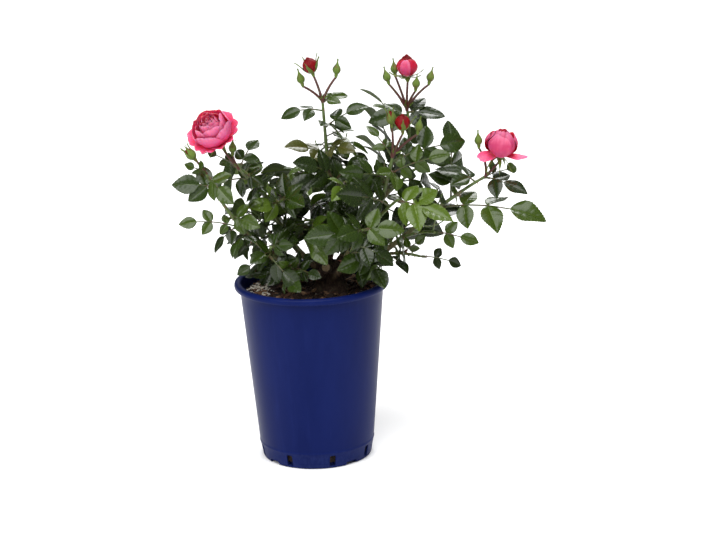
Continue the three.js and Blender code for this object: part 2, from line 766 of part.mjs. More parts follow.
for (const spray of SPRAYS) {
  const cane = canes[spray.on];
  const end = alongLine(cane.line, spray.at ?? 1);
  const tip = vec(...spray.tip);
  const toTip = tip.clone().sub(end.point).normalize();
  const leaving = end.tangent.clone().lerp(toTip, spray.at ? 0.6 : 0.3).normalize();
  if (spray.at) {
    spray.line = stemLine(end.point, leaving, tip, 6);
  } else {
    const foot = end.point.clone().addScaledVector(end.tangent, GAP);
    const above = foot.clone().addScaledVector(end.tangent, 3);
    spray.line = [foot, ...stemLine(above, leaving, tip, 6)];
  }
  spray.radius = [spray.at ? 2.2 : cane.radius[1], 1.7];
  grown.push(...lineMarks(spray.line, spray.radius[0]));
  spray.stalks = [];
  for (const { kind, foot, facing } of spray.heads ?? []) {
    const base = vec(...foot);
    const way = vec(...facing).normalize();
    const { point, tangent } = alongLine(spray.line, 0.985);
    const straight = base.clone().sub(point).normalize();
    spray.stalks.push(stemLine(point, tangent.lerp(straight, STALK.straight).normalize(), base, 3));
    grown.push(...lineMarks(spray.stalks.at(-1), 1.1));
    for (const [height, radius] of HEADS[kind].room) {
      grown.push([base.clone().addScaledVector(way, height), radius]);
    }
  }
}

// A leaf that reaches to a point with an end leaflet of a size. Its stalk is as long as is left, but
// not shorter than a share of its usual length.
function aimedLeaf(node, target, size, shrink, random) {
  const { slack, sag, lift, longReach, shortest, front } = LEAF.aimed;
  const chord = target.clone().sub(node);
  const reach = (chord.length() * shrink) / slack;
  const pairs = reach > longReach ? 2 : 1;
  const usual = LEAF.spacing[pairs].reduce((sum, share) => sum + share);
  const end = Math.min(size * shrink, reach / (1 + usual * shortest));
  const heading = chord.normalize();
  heading.z += sag * 0.5 + lift;
  const stretch = (reach / end - 1) / usual;
  return compoundLeaf(node, heading.normalize(), end, pairs, sag, random, stretch, front);
}

function isInCrown(marks) {
  return marks.every(([p]) => {
    const beside = Math.hypot((p.x - CROWN.x) / CROWN.halfWidth, (p.y - CROWN.y) / CROWN.halfDepth);
    return beside < 1 && p.z < CROWN.top;
  });
}

// A leaf that leaves the stem at the angle turn round it.
function turnedLeaf(node, tangent, turn, size, pairs, random) {
  const [a, b] = squareTo(tangent);
  const round = a.multiplyScalar(Math.cos(turn)).addScaledVector(b, Math.sin(turn));
  const spread = degrees(46 + 24 * random());
  const heading = tangent.clone().multiplyScalar(Math.cos(spread)).addScaledVector(round, Math.sin(spread));
  return compoundLeaf(node, heading, size, pairs, 0.1 + 0.6 * random(), random);
}

function keepIfFree(spray, leaf, marks) {
  if (!isFree(marks)) return false;
  spray.foliage.push(leaf);
  grown.push(...marks);
  return true;
}

// A leaf that finds no room is tried again, a little smaller and swung a little further round.
const TRIES = { count: 24, shrink: 0.012, swing: 22 };
for (const spray of SPRAYS) {
  spray.random = randomStream(spray.seed);
  spray.foliage = [];
  for (const [share, x, y, z, size] of spray.aims ?? []) {
    const { point } = alongLine(spray.line, share);
    for (let attempt = 0; attempt < TRIES.count; attempt++) {
      const leaf = aimedLeaf(point, vec(x, y, z), size, 1 - TRIES.shrink * attempt, spray.random);
      if (keepIfFree(spray, leaf, leafMarks(leaf, LEAF_ROOM.aimed))) break;
    }
  }
}
for (const spray of SPRAYS) {
  for (let i = 0; i < spray.leaves; i++) {
    const share = 0.06 + (0.88 * (i + 0.5)) / spray.leaves;
    const { point, tangent } = alongLine(spray.line, share);
    const size = LEAF.length * (0.8 + 0.3 * spray.random()) * (share > 0.75 ? 0.8 : 1);
    const pairs = spray.random() < 0.25 ? 1 : 2;
    for (let attempt = 0; attempt < TRIES.count; attempt++) {
      const swing = (attempt % 2 ? 1 : -1) * Math.ceil(attempt / 2) * TRIES.swing;
      const turn = degrees(spray.turn + LEAF.turnStep * i + swing);
      const tried = size * (1 - TRIES.shrink * attempt);
      const leaf = turnedLeaf(point, tangent, turn, tried, pairs, spray.random);
      const marks = leafMarks(leaf, LEAF_ROOM.turned);
      if (isInCrown(marks) && keepIfFree(spray, leaf, marks)) break;
    }
  }
}

// ---------------------------------------------------------------- the plant

const material = (color, roughness) => new THREE.MeshStandardMaterial({ color, roughness, metalness: 0 });
const BLUE_PLASTIC = material(0x1c2566, 0.42);
const POTTING_MIX = material(0x2b1d16, 0.95);
const OLD_BARK = material(0x4a3a2c, 0.9);
const CANE_BARK = material(0x6b6a38, 0.7);
const LEAF_GREEN = material(0x2f5a24, 0.5);

const rose = new THREE.Group();
rose.add(meshOf('pot', potSolid(), BLUE_PLASTIC));
rose.add(meshOf('potting_mix', mixSolid(), POTTING_MIX));
rose.add(meshOf('bud_union', unionSolid(0), OLD_BARK));
const unionGrown = unionSolid(GAP);
for (const cane of CANES) {
  const solid = limb(cane.line, cane.radius, 7).subtract(unionGrown);
  rose.add(meshOf(cane.name, solid, CANE_BARK));
}
for (const spray of SPRAYS) {
  const parts = [limb(spray.line, spray.radius, 4), ...spray.foliage.map(leafSolid)];
  (spray.heads ?? []).forEach(({ kind, foot, facing }, i) => {
    parts.push(limb(spray.stalks[i], STALK.radius, 4));
    parts.push(placed(headSolid(HEADS[kind]), vec(...foot), vec(...facing).normalize()));
  });
  let solid = join(parts);
  if (spray.at) {
    const cane = canes[spray.on];
    solid = solid.subtract(limb(cane.line, cane.radius.map((radius) => radius + GAP), 7));
  }
  rose.add(meshOf(spray.name, solid, LEAF_GREEN));
}

export default rose;
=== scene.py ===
import dataclasses
import functools
import math
from typing import NamedTuple

import bpy
import numpy as np
from mathutils import Matrix, Quaternion, Vector, noise


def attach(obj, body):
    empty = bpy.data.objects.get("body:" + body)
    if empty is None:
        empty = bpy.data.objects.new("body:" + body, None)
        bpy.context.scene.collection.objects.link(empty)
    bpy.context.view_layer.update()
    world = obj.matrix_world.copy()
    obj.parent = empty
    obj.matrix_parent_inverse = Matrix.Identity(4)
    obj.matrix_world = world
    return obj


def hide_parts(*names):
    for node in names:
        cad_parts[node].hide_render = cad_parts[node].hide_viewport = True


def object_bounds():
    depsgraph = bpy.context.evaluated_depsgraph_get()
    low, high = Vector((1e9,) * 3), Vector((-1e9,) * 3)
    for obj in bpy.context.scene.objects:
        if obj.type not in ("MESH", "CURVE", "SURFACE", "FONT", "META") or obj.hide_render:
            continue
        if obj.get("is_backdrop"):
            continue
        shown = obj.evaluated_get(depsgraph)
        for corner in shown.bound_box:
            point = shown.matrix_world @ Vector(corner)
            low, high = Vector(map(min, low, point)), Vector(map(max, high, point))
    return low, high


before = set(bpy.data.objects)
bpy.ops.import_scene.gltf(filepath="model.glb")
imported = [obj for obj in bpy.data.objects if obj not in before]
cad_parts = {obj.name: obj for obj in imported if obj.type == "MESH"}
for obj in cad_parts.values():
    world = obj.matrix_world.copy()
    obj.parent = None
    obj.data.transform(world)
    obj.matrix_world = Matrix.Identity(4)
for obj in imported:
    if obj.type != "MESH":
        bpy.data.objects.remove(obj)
cad_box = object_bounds()


# ---------------------------------------------------------------- camera
# A long lens a little under three metres away, above the top of the bush. It looks down on the rim of
# the pot, and is turned a little about its own axis.
CAMERA_PLACE = Vector((0, -2.854, 1.045))
CAMERA_AIM = Vector((0.0603, 0, 0.2447))
CAMERA_TURN = 0.0306


def add_object(name, data):
    made = bpy.data.objects.new(name, data)
    bpy.context.scene.collection.objects.link(made)
    return made


lens = bpy.data.cameras.new("camera")
lens.lens = 115.6
lens.sensor_width = 36
lens.clip_end = 30
camera = add_object("camera", lens)
camera.location = CAMERA_PLACE
camera.rotation_mode = "QUATERNION"
level_view = (CAMERA_AIM - CAMERA_PLACE).to_track_quat("-Z", "Y")
camera.rotation_quaternion = level_view @ Quaternion((0, 0, 1), -CAMERA_TURN)
bpy.context.scene.camera = camera


# ---------------------------------------------------------------- studio
# White paper on the floor, one broad soft light from in front and above, two weak soft boxes that
# give the leaves and the plastic their gloss, and a white room round them.
PAPER = {"radius": 9, "sides": 96}
PLANT_MIDDLE = (0.05, 0, 0.3)
BROAD_LIGHT = {"from": (-0.06, -0.8, 1.5), "strength": 3.4, "spread": 56}
SOFT_BOXES = (  # name, place, size and power
    ("left_soft_box", (-1.5, -1.6, 1.5), 1.0, 18),
    ("back_soft_box", (0.3, 1.5, 1.9), 1.2, 36),
)
ROOM_LIGHT = 0.24


def circle(sides):
    """Evenly spaced points on the unit circle."""
    around = np.linspace(0, 2 * np.pi, sides, endpoint=False)
    return np.stack([np.cos(around), np.sin(around)], -1)


def add_material(name, colour, roughness, **sockets):
    """A principled material, whose even values stand on the shader's own sockets, and its nodes."""
    material = bpy.data.materials.new(name)
    material.use_nodes = True
    shader = material.node_tree.nodes["Principled BSDF"]
    shader.inputs["Base Color"].default_value = (*colour, 1)
    shader.inputs["Roughness"].default_value = roughness
    for socket, value in sockets.items():
        shader.inputs[socket.replace("_", " ")].default_value = value
    return material, material.node_tree


paper_mesh = bpy.data.meshes.new("paper_floor")
paper_edge = [(x * PAPER["radius"], y * PAPER["radius"], 0) for x, y in circle(PAPER["sides"])]
paper_mesh.from_pydata(paper_edge, [], [range(PAPER["sides"])])
paper_mesh.materials.append(add_material("white_paper", (0.97, 0.97, 0.97), 0.9)[0])
paper = add_object("paper_floor", paper_mesh)
paper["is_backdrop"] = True


def add_light(name, kind, place, energy, aim):
    lamp = bpy.data.lights.new(name, kind)
    lamp.energy = energy
    holder = add_object(name, lamp)
    holder.location = place
    holder.rotation_euler = (Vector(aim) - Vector(place)).to_track_quat("-Z", "Y").to_euler()
    return lamp


broad = add_light("broad_light", "SUN", BROAD_LIGHT["from"], BROAD_LIGHT["strength"], (0, 0, 0))
broad.angle = math.radians(BROAD_LIGHT["spread"])
for name, place, size, power in SOFT_BOXES:
    add_light(name, "AREA", place, power, PLANT_MIDDLE).size = size

room = bpy.data.worlds.new("white_room")
room.use_nodes = True
room.node_tree.nodes["Background"].inputs["Color"].default_value = (1, 1, 1, 1)
room.node_tree.nodes["Background"].inputs["Strength"].default_value = ROOM_LIGHT
bpy.context.scene.world = room
bpy.context.scene.view_settings.view_transform = "Standard"


# ---------------------------------------------------------------- pot
# A tall round nursery pot, injection moulded in blue polypropylene: a rolled rim, a stepped foot with
# eight drain slots and four notches under its edge. Benches have scuffed the foot.
MM = 0.001
POT_TURNS = 180
POT_PROFILE = [  # radius and height: up the outside, over the rim and down the inside
    (0, 0), (55, 0), (66, 0), (69.2, 0.3), (70.8, 1.2), (71.4, 3), (73.0, 12), (74.4, 19.2),
    (75.0, 20.4), (75.2, 21.3), (75.1, 22.3), (74.8, 23.2), (74.9, 24.5), (79, 70), (85, 137),
    (91.8, 215), (92.6, 225.5), (93.0, 226.8), (94, 227.2), (97.6, 227.3), (99, 227.8), (99.8, 229),
    (100, 230.6), (99.9, 232.4), (99.3, 234), (98.2, 235.1), (96.8, 235.5), (93.6, 235.5),
    (92.3, 235.1), (91.5, 234.2), (91.2, 232.6), (91.1, 227.2), (73.2, 24), (70.4, 8), (69.6, 6.4),
    (68.6, 6), (57, 6), (57, 2), (0, 2),
]  # fmt: skip
DRAINS = {"count": 8, "first": -75, "radius": 73, "depth": 8, "width": 8, "bottom": 3, "top": 18}
NOTCHES = {"count": 4, "first": -52.5, "radius": 68.5, "depth": 7, "width": 17, "bottom": -4, "top": 5}
SLOT_BEND = 1.8  # radius of a slot's upper corners
POT_CREASE = 32


class Gather:
    """Points, faces, finishes and flat coordinates of many small shapes, which become one mesh."""

    def __init__(self):
        self.points, self.faces, self.finishes, self.flats, self.count = [], [], [], [], 0

    def add(self, points, *blocks, finish=0, flats=None):
        """Blocks are arrays of faces. With flats, each has flat coordinates and the next finish."""
        for i, faces in enumerate(blocks):
            flat = flats[i] if flats else np.zeros((np.size(faces), 2))
            self.faces.append(np.asarray(faces) + self.count)
            self.finishes.append(np.full(len(faces), finish + i * bool(flats), np.int32))
            self.flats.append(np.reshape(flat, (-1, 2)))
        self.points.append(np.asarray(points, float).reshape(-1, 3))
        self.count += len(self.points[-1])

    def mesh(self, name, crease=None, is_flat=False):
        made = bpy.data.meshes.new(name)
        faces = [face for block in self.faces for face in block.tolist()]
        made.from_pydata((np.concatenate(self.points) * MM).tolist(), [], faces)
        made.polygons.foreach_set("material_index", np.concatenate(self.finishes))
        made.shade_smooth()
        if is_flat:
            made.uv_layers.new(name="OFBake").data.foreach_set("uv", np.concatenate(self.flats).ravel())
        if crease:
            made.set_sharp_from_angle(angle=math.radians(crease))
        return made


def closed(rings, first, last, is_inward=False):
    """A closed form through rings of points: its points and faces. First and last are its end points."""
    rings = np.asarray(rings, float)
    sides = rings.shape[1]
    count = rings.shape[0] * sides
    ring = np.arange(count).reshape(-1, sides)
    beside = np.roll(ring, -1, axis=1)
    walls = np.stack([ring[:-1], beside[:-1], beside[1:], ring[1:]], -1).reshape(-1, 4)
    under = np.stack([np.full(sides, count), beside[0], ring[0]], -1)
    over = np.stack([np.full(sides, count + 1), ring[-1], beside[-1]], -1)
    if is_inward:
        walls, under, over = walls[:, ::-1], under[:, (0, 2, 1)], over[:, (0, 2, 1)]
    return np.concatenate([rings.reshape(-1, 3), [first, last]]), walls, under, over


def level_rings(profile, sides):
    """Level rings of points round Z, one for each (radius, height)."""
    return [np.insert(radius * circle(sides), 2, height, axis=1) for radius, height in profile]


def turned(profile, sides):
    """A closed solid turned round Z, from a profile of (radius, height) that starts and ends on Z."""
    return closed(level_rings(profile[1:-1], sides), (0, 0, profile[0][1]), (0, 0, profile[-1][1]))


def add_piece(mesh, materials, replaced=()):
    """Put a mesh in the scene as a piece of the plant, with its finish, and hide what it stands for."""
    for material in materials:
        mesh.materials.append(material)
    piece = add_object(mesh.name, mesh)
    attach(piece, "root")
    if replaced:
        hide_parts(*replaced)
    return piece


def slot_cutters(count, first, radius, depth, width, bottom, top):
    """Blocks with rounded heads that stand across the wall, evenly round it."""
    side, shoulder = width / 2 - SLOT_BEND, top - SLOT_BEND
    quarter = np.linspace(0, np.pi / 2, 5)[1:]
    head = [(side + SLOT_BEND * math.cos(a), shoulder + SLOT_BEND * math.sin(a)) for a in quarter]
    right = [(width / 2, bottom), (width / 2, shoulder), *head]
    outline = right + [(-across, height) for across, height in reversed(right)]
    corners = len(outline)
    block = [(radius + way * depth, across, height) for way in (-1, 1) for across, height in outline]
    faces = [list(range(corners))[::-1], list(range(corners, 2 * corners))]
    faces += [[k, (k + 1) % corners, corners + (k + 1) % corners, corners + k] for k in range(corners)]
    for i in range(count):
        cutter = bpy.data.meshes.new("cutter")
        cutter.from_pydata([Vector(p) * MM for p in block], [], faces)
        cutter.transform(Matrix.Rotation(math.radians(first + 360 / count * i), 4, "Z"))
        yield cutter


def settled(piece, prepare):
    """Add modifiers by prepare, keep their result as the piece's mesh, and drop their helpers."""
    helpers = prepare(piece)
    graph = bpy.context.evaluated_depsgraph_get()
    result = bpy.data.meshes.new_from_object(piece.evaluated_get(graph))
    piece.modifiers.clear()
    piece.data = result
    piece.data.name = piece.name
    for helper in helpers:
        bpy.data.objects.remove(helper)


def cut_slots(piece):
    helpers = []
    for cutter in [*slot_cutters(**DRAINS), *slot_cutters(**NOTCHES)]:
        helpers.append(add_object("cutter", cutter))
        cut = piece.modifiers.new("cut", "BOOLEAN")
        cut.operation = "DIFFERENCE"
        cut.object = helpers[-1]
    return helpers


def plug(tree, socket, value):
    """Link a socket, or set it where the value is a number, a place or a colour."""
    if isinstance(value, bpy.types.NodeSocket):
        tree.links.new(value, socket)
    else:
        socket.default_value = (*value, 1) if socket.type == "RGBA" else value


def add_node(tree, kind, settings=(), **inputs):
    """A shader node of a kind. An input is a socket to link or a value to set."""
    node = tree.nodes.new("ShaderNode" + kind)
    for name, value in settings:
        setattr(node, name, value)
    for name, value in inputs.items():
        plug(tree, node.inputs[name], value)
    return node


def texture_place(tree, scale=(1, 1, 1)):
    """The object's own coordinates, stretched by a scale."""
    place = add_node(tree, "TexCoord").outputs["Object"]
    return add_node(tree, "Mapping", Scale=scale, Vector=place).outputs["Vector"]


def add_noise(tree, size, detail, roughness=0.55, place=None):
    """Noise whose lumps are about size millimetres across."""
    place = place or texture_place(tree)
    inputs = {"Scale": 1 / (size * MM), "Detail": detail, "Roughness": roughness, "Vector": place}
    return add_node(tree, "TexNoise", **inputs).outputs["Fac"]


def add_ramp(tree, factor, *stops):
    """Grey or coloured stops, each with its place."""
    node = add_node(tree, "ValToRGB", Fac=factor)
    elements = node.color_ramp.elements
    while len(elements) < len(stops):
        elements.new(0.5)
    for element, (place, colour) in zip(elements, stops):
        element.position = place
        element.color = (*colour, 1) if isinstance(colour, tuple) else (colour, colour, colour, 1)
    return node.outputs["Color"]


def add_mix(tree, factor, first, second):
    node = add_node(tree, "Mix", [("data_type", "RGBA")], Factor=factor)
    for socket, colour in zip([socket for socket in node.inputs if socket.type == "RGBA"], (first, second)):
        plug(tree, socket, colour)
    return next(socket for socket in node.outputs if socket.type == "RGBA")


def add_math(tree, operation, first, second=0.0):
    node = add_node(tree, "Math", [("operation", operation)])
    plug(tree, node.inputs[0], first)
    plug(tree, node.inputs[1], second)
    return node.outputs["Value"]


def finish_nodes(tree, colour, roughness, height, depth, strength=1.0):
    """Link colour, roughness and bump to the shader. Depth is the bump's height in millimetres."""
    shader = tree.nodes["Principled BSDF"]
    bump = add_node(tree, "Bump", Strength=strength, Distance=depth * MM, Height=height)
    plug(tree, shader.inputs["Base Color"], colour)
    plug(tree, shader.inputs["Roughness"], roughness)
    plug(tree, shader.inputs["Normal"], bump.outputs["Normal"])


def height_above_floor(tree):
    return add_node(tree, "SeparateXYZ", Vector=texture_place(tree)).outputs["Z"]


def blue_plastic():
    """Satin plastic, a little cloudy, with fine upright streaks and dull scuffs on the foot."""
    deep_blue = (0.004, 0.009, 0.075)
    material, tree = add_material("blue_polypropylene", deep_blue, 0.4, Specular_IOR_Level=0.065)
    foot = add_ramp(tree, height_above_floor(tree), (0.0, 1.0), (0.0205, 0.8), (0.0235, 0.0))
    cloud = add_noise(tree, 60, 4, place=texture_place(tree, (1, 1, 0.3)))
    streak = add_noise(tree, 9, 3, place=texture_place(tree, (1, 1, 0.08)))
    scratch = add_noise(tree, 3.2, 6, 0.7, texture_place(tree, (1, 1, 0.5)))
    cloudy = add_ramp(tree, cloud, (0.35, 0.0), (0.7, 1.0))
    blue = add_mix(tree, cloudy, (0.0026, 0.0078, 0.066), (0.0045, 0.0112, 0.084))
    streaks = add_math(tree, "MULTIPLY", add_ramp(tree, streak, (0.55, 0.0), (0.8, 1.0)), 0.3)
    blue = add_mix(tree, streaks, blue, (0.009, 0.018, 0.11))
    scuff = add_math(tree, "MULTIPLY", foot, add_ramp(tree, scratch, (0.42, 0.12), (0.66, 1.0)))
    blue = add_mix(tree, add_math(tree, "MULTIPLY", scuff, 0.3), blue, (0.03, 0.045, 0.15))
    gloss = add_ramp(tree, cloud, (0.3, 0.33), (0.75, 0.45))
    gloss = add_mix(tree, scuff, gloss, (0.62, 0.62, 0.62))
    finish_nodes(tree, blue, gloss, scratch, 0.05, 0.5)
    return material


pot_gather = Gather()
pot_gather.add(*turned(POT_PROFILE, POT_TURNS))
pot = add_piece(pot_gather.mesh("pot_shell"), [blue_plastic()], ["pot"])
settled(pot, cut_slots)
pot.data.set_sharp_from_angle(angle=math.radians(POT_CREASE))


# ---------------------------------------------------------------- potting mix
# Composted pine bark with a little grit and perlite, poured in and watered down until it stands about
# fifteen millimetres under the rim. A lump of perlite and sand lies against the wall at the left.
SOIL_LEVEL = 221
SOIL_EDGE = 3  # how much lower the mix stands at the wall
MIX_SIDE = [(89.6, 214), (72.4, 24), (68, 22), (67.5, 7), (56.6, 6.4), (56.6, 2.4)]
MIX_RINGS, MIX_TURNS = 62, 170
MIX_SEED = 5
STREWN_REACH = 88  # no chip lies further out
CHIPS = [  # count, least and most length, corners, finishes, how far they stand proud, and the clump
    (620, (4, 17), 7, [0, 0, 1, 1, 2, 2], 0.1, None),
    (1700, (1.2, 4), 5, [0, 0, 1], 0.2, None),
    (150, (1.2, 4.2), 6, [3, 2], 0.3, None),
    (600, (1.8, 6.2), 6, [3, 3, 3, 3, 2, 0], 0.5, (-70, 6, 13)),
]
CHIP_KINDS = [  # name, dark and light colour, size of the grain, depth of the relief, share of dirt
    ("dark_bark_chips", (0.018, 0.009, 0.006), (0.05, 0.022, 0.012), 7, 0.6, 0.55),
    ("red_bark_chips", (0.05, 0.02, 0.011), (0.13, 0.055, 0.028), 7, 0.6, 0.55),
    ("pale_wood_chips", (0.17, 0.09, 0.045), (0.34, 0.2, 0.11), 7, 0.6, 0.55),
    ("perlite_and_grit", (0.8, 0.73, 0.6), (0.98, 0.95, 0.87), 3, 0.6, 0.12),
]


def lumps(points, size, octaves):
    """Smooth noise from about -1 to 1 at each point, with lumps of the given size."""
    return np.array([noise.fractal(Vector(p) / size, 1.0, 2.0, octaves) for p in points])


def soil_height(x, y):
    """The mix's surface: sunk at the wall, with hollows and crumbs."""
    out = np.hypot(x, y)
    place = np.stack([x, y, np.zeros_like(x)], -1)
    sunk = SOIL_EDGE * np.clip((out - 52) / 38, 0, 1)
    return SOIL_LEVEL - sunk + 3.4 * lumps(place, 26, 2) + 2.2 * lumps(place + 50, 6, 3)


def mix_body():
    radii = np.linspace(0, MIX_SIDE[0][0], MIX_RINGS + 1)[1:]
    x, y = (np.outer(radii, wave).ravel() for wave in circle(MIX_TURNS).T)
    top = np.stack([x, y, soil_height(x, y)], -1)
    rings = np.concatenate([top, *level_rings(MIX_SIDE, MIX_TURNS)])[::-1].reshape(-1, MIX_TURNS, 3)
    return closed(rings, (0, 0, MIX_SIDE[-1][1]), (0, 0, SOIL_LEVEL), is_inward=True)


def shard(draw, length, breadth, thickness, corners):
    """A split piece of bark or stone: two jagged faces with a rough edge between them."""
    around = np.linspace(0, 2 * np.pi, corners, endpoint=False) + draw.uniform(-0.3, 0.3, corners)
    reach = draw.uniform(0.75, 1.1, corners)
    outline = np.stack([reach * np.cos(around) * length / 2, reach * np.sin(around) * breadth / 2], -1)
    rings = []
    for level, size in ((-1, 0.8), (0, 1.0), (1, 0.75)):
        heights = level * thickness / 2 * draw.uniform(0.7, 1.2, (corners, 1))
        rings.append(np.concatenate([outline * size, heights], 1))
    return closed(rings, (0, 0, -thickness / 2), (0, 0, thickness / 2))


def rotation(axis, angle):
    return np.array(Matrix.Rotation(angle, 3, Vector(axis)))


def strew(gather, draw, count, sizes, corners, finishes, proud, clump):
    """Scatter shards on the mix or in a clump (X, Y and radius), most of them lying flat."""
    for _ in range(count):
        if clump is None:
            out, angle = STREWN_REACH * math.sqrt(draw.random()), draw.uniform(0, 2 * math.pi)
            x, y = out * math.cos(angle), out * math.sin(angle)
        else:
            x, y = draw.normal(clump[0], clump[2] * 0.55), draw.normal(clump[1], clump[2])
        length = sizes[0] + (sizes[1] - sizes[0]) * draw.random() ** 2.2
        if math.hypot(x, y) > STREWN_REACH - length / 2:
            continue
        breadth, thickness = length * draw.uniform(0.35, 0.7), length * draw.uniform(0.14, 0.3)
        points, *faces = shard(draw, length, breadth, thickness, corners)
        tilt = draw.normal(0, 0.3, 2)
        turn = rotation((1, 0, 0), tilt[0]) @ rotation((0, 1, 0), tilt[1])
        turn = turn @ rotation((0, 0, 1), 6.28 * draw.random())
        height = soil_height(np.array([x]), np.array([y]))[0] + length * proud
        gather.add(points @ turn.T + (x, y, height), *faces, finish=draw.choice(finishes))


def crumbly(name, dark, light, size, depth, dirt):
    """Bark, coir or stone: two colours in fibres, with specks of dirt, dull and rough."""
    material, tree = add_material(name, dark, 0.9)
    grain = add_noise(tree, size, 5, 0.65, texture_place(tree, (1, 0.35, 1)))
    specks = add_noise(tree, size / 4, 3, 0.6)
    colour = add_mix(tree, add_ramp(tree, grain, (0.36, 0.0), (0.68, 1.0)), dark, light)
    colour = add_mix(tree, add_ramp(tree, specks, (0.3, dirt), (0.55, 0.0)), colour, (0.008, 0.005, 0.003))
    finish_nodes(tree, colour, add_ramp(tree, grain, (0.3, 0.98), (0.8, 0.72)), specks, depth)
    return material


mix_gather, chip_gather = Gather(), Gather()
mix_gather.add(*mix_body())
mix_draw = np.random.default_rng(MIX_SEED)
mix_skin = crumbly("composted_bark", (0.011, 0.006, 0.004), (0.046, 0.022, 0.012), 5, 1.0, 0.55)
add_piece(mix_gather.mesh("potting_mix_body"), [mix_skin], ["potting_mix"])
for strewn in CHIPS:
    strew(chip_gather, mix_draw, *strewn)
chip_skins = [crumbly(*kind) for kind in CHIP_KINDS]
add_piece(chip_gather.mesh("bark_chips", crease=40), chip_skins)


# ---------------------------------------------------------------- bud union
# The swollen knob where the rose was budded on its stock: old corky bark that flares into the mix, with
# three stubs that secateurs left, their pale faces dried.
UNION_PLACE = np.array([25, 2, SOIL_LEVEL + 0.3])
UNION_LEAN = -0.08
UNION_PROFILE = [
    (0, -3), (26, -3), (24.5, 0.5), (20.6, 4), (18.2, 9), (17.4, 14), (16.8, 20), (16.2, 25), (14.6, 31),
    (11.5, 35), (7, 37.6), (0, 38.6),
]  # fmt: skip
STUBS = [  # start, end and radius
    ((20, -4, 246), (19, -26, 257), 5.6),
    ((16, -4, 240), (6, -26, 248), 5.8),
    ((34, 6, 246), (50, 22, 262), 4.6),
]
STUB_FLARE = 1.6  # how much thicker a stub is where it starts
UNION_CELL = 0.85  # of the skin that joins the knob and its stubs


def unit(vector):
    return vector / math.sqrt(vector @ vector)


def square_to(tangent):
    """Two directions square to the tangent."""
    a = unit(np.cross((1.0, 0, 0) if abs(tangent[2]) > 0.95 else (0, 0, 1.0), tangent))
    return a, np.cross(tangent, a)


def beside_way(tangent, turn):
    """The direction square to the tangent at the angle turn round it."""
    a, b = square_to(tangent)
    return a * math.cos(turn) + b * math.sin(turn)


def tube(line, radii, sides, relief=None):
    """A limb with flat ends through the points of a line. Relief gives a share of swell at each point."""
    line = np.asarray(line, float)
    tangents = np.gradient(line, axis=0)
    tangents /= np.linalg.norm(tangents, axis=1, keepdims=True)
    cosines, sines = circle(sides).T
    a = square_to(tangents[0])[0]
    rings = []
    for point, tangent, radius in zip(line, tangents, np.broadcast_to(radii, len(line))):
        a = unit(a - tangent * (a @ tangent))
        b = np.cross(tangent, a)
        rings.append(point + radius * (np.outer(cosines, a) + np.outer(sines, b)))
    rings = np.array(rings)
    if relief:
        swell = relief(rings.reshape(-1, 3)).reshape(len(line), sides, 1)
        rings = line[:, None] + (rings - line[:, None]) * (1 + swell)
    return closed(rings, line[0], line[-1])


def union_shape():
    gather = Gather()
    points, *faces = turned(UNION_PROFILE, 48)
    gather.add(points + np.outer(points[:, 2], (UNION_LEAN, 0, 0)) + UNION_PLACE, *faces)
    for start, end, radius in STUBS:
        start, end = np.array(start, float), np.array(end, float)
        line = [start + (end - start) * share for share in np.linspace(0, 1, 9)]
        gather.add(*tube(line, np.linspace(radius + STUB_FLARE, radius, 9), 28))
    return gather.mesh("bud_union_bark")


def remeshed(piece):
    skin = piece.modifiers.new("skin", "REMESH")
    skin.mode = "VOXEL"
    skin.voxel_size = UNION_CELL * MM
    return []


def cut_ends():
    """Where each stub is cut, which way it points there, and its radius."""
    for start, end, radius in STUBS:
        yield np.array(end, float), unit(np.array(end, float) - start), radius


def wrinkled(mesh):
    """Push corky plates and cracks out of the bark, but leave the cut faces flat."""
    count = len(mesh.vertices)
    points, normals = np.empty(count * 3), np.empty(count * 3)
    mesh.vertices.foreach_get("co", points)
    mesh.vertices.foreach_get("normal", normals)
    points, normals = points.reshape(-1, 3) / MM, normals.reshape(-1, 3)
    plates = 0.5 - np.abs(lumps(points * (1, 1, 0.45), 5, 3))
    push = 1.5 * lumps(points, 13, 2) + 1.1 * plates
    for end, way, radius in cut_ends():
        ahead = (points - end) @ way
        beside = np.linalg.norm(points - end - np.outer(ahead, way), axis=1)
        push[(ahead > -2.5) & (beside < radius + 2)] *= 0.25
    mesh.vertices.foreach_set("co", ((points + normals * push[:, None]) * MM).ravel())


def mark_cut_faces(mesh):
    """Give the second finish to the faces that lie across the ends of the stubs."""
    for end, way, radius in cut_ends():
        for face in mesh.polygons:
            apart = np.array(face.center) / MM - end
            is_across = -1.6 < apart @ way < 2 and np.array(face.normal) @ way > 0.8
            if is_across and np.linalg.norm(apart) < radius + 1:
                face.material_index = 1


def old_bark():
    """Grey brown cork with dark cracks and a little green where it is damp."""
    material, tree = add_material("old_rose_bark", (0.06, 0.035, 0.02), 0.85)
    cracks = add_noise(tree, 3.4, 6, 0.7, texture_place(tree, (1, 1, 0.4)))
    damp = add_noise(tree, 16, 3)
    crack, brown, grey = (0.012, 0.007, 0.005), (0.055, 0.03, 0.018), (0.15, 0.105, 0.07)
    colour = add_ramp(tree, cracks, (0.3, crack), (0.5, brown), (0.72, grey))
    green = add_ramp(tree, damp, (0.52, 0.0), (0.7, 0.5))
    colour = add_mix(tree, green, colour, (0.055, 0.06, 0.025))
    finish_nodes(tree, colour, add_ramp(tree, cracks, (0.3, 0.95), (0.8, 0.7)), cracks, 0.9)
    return material


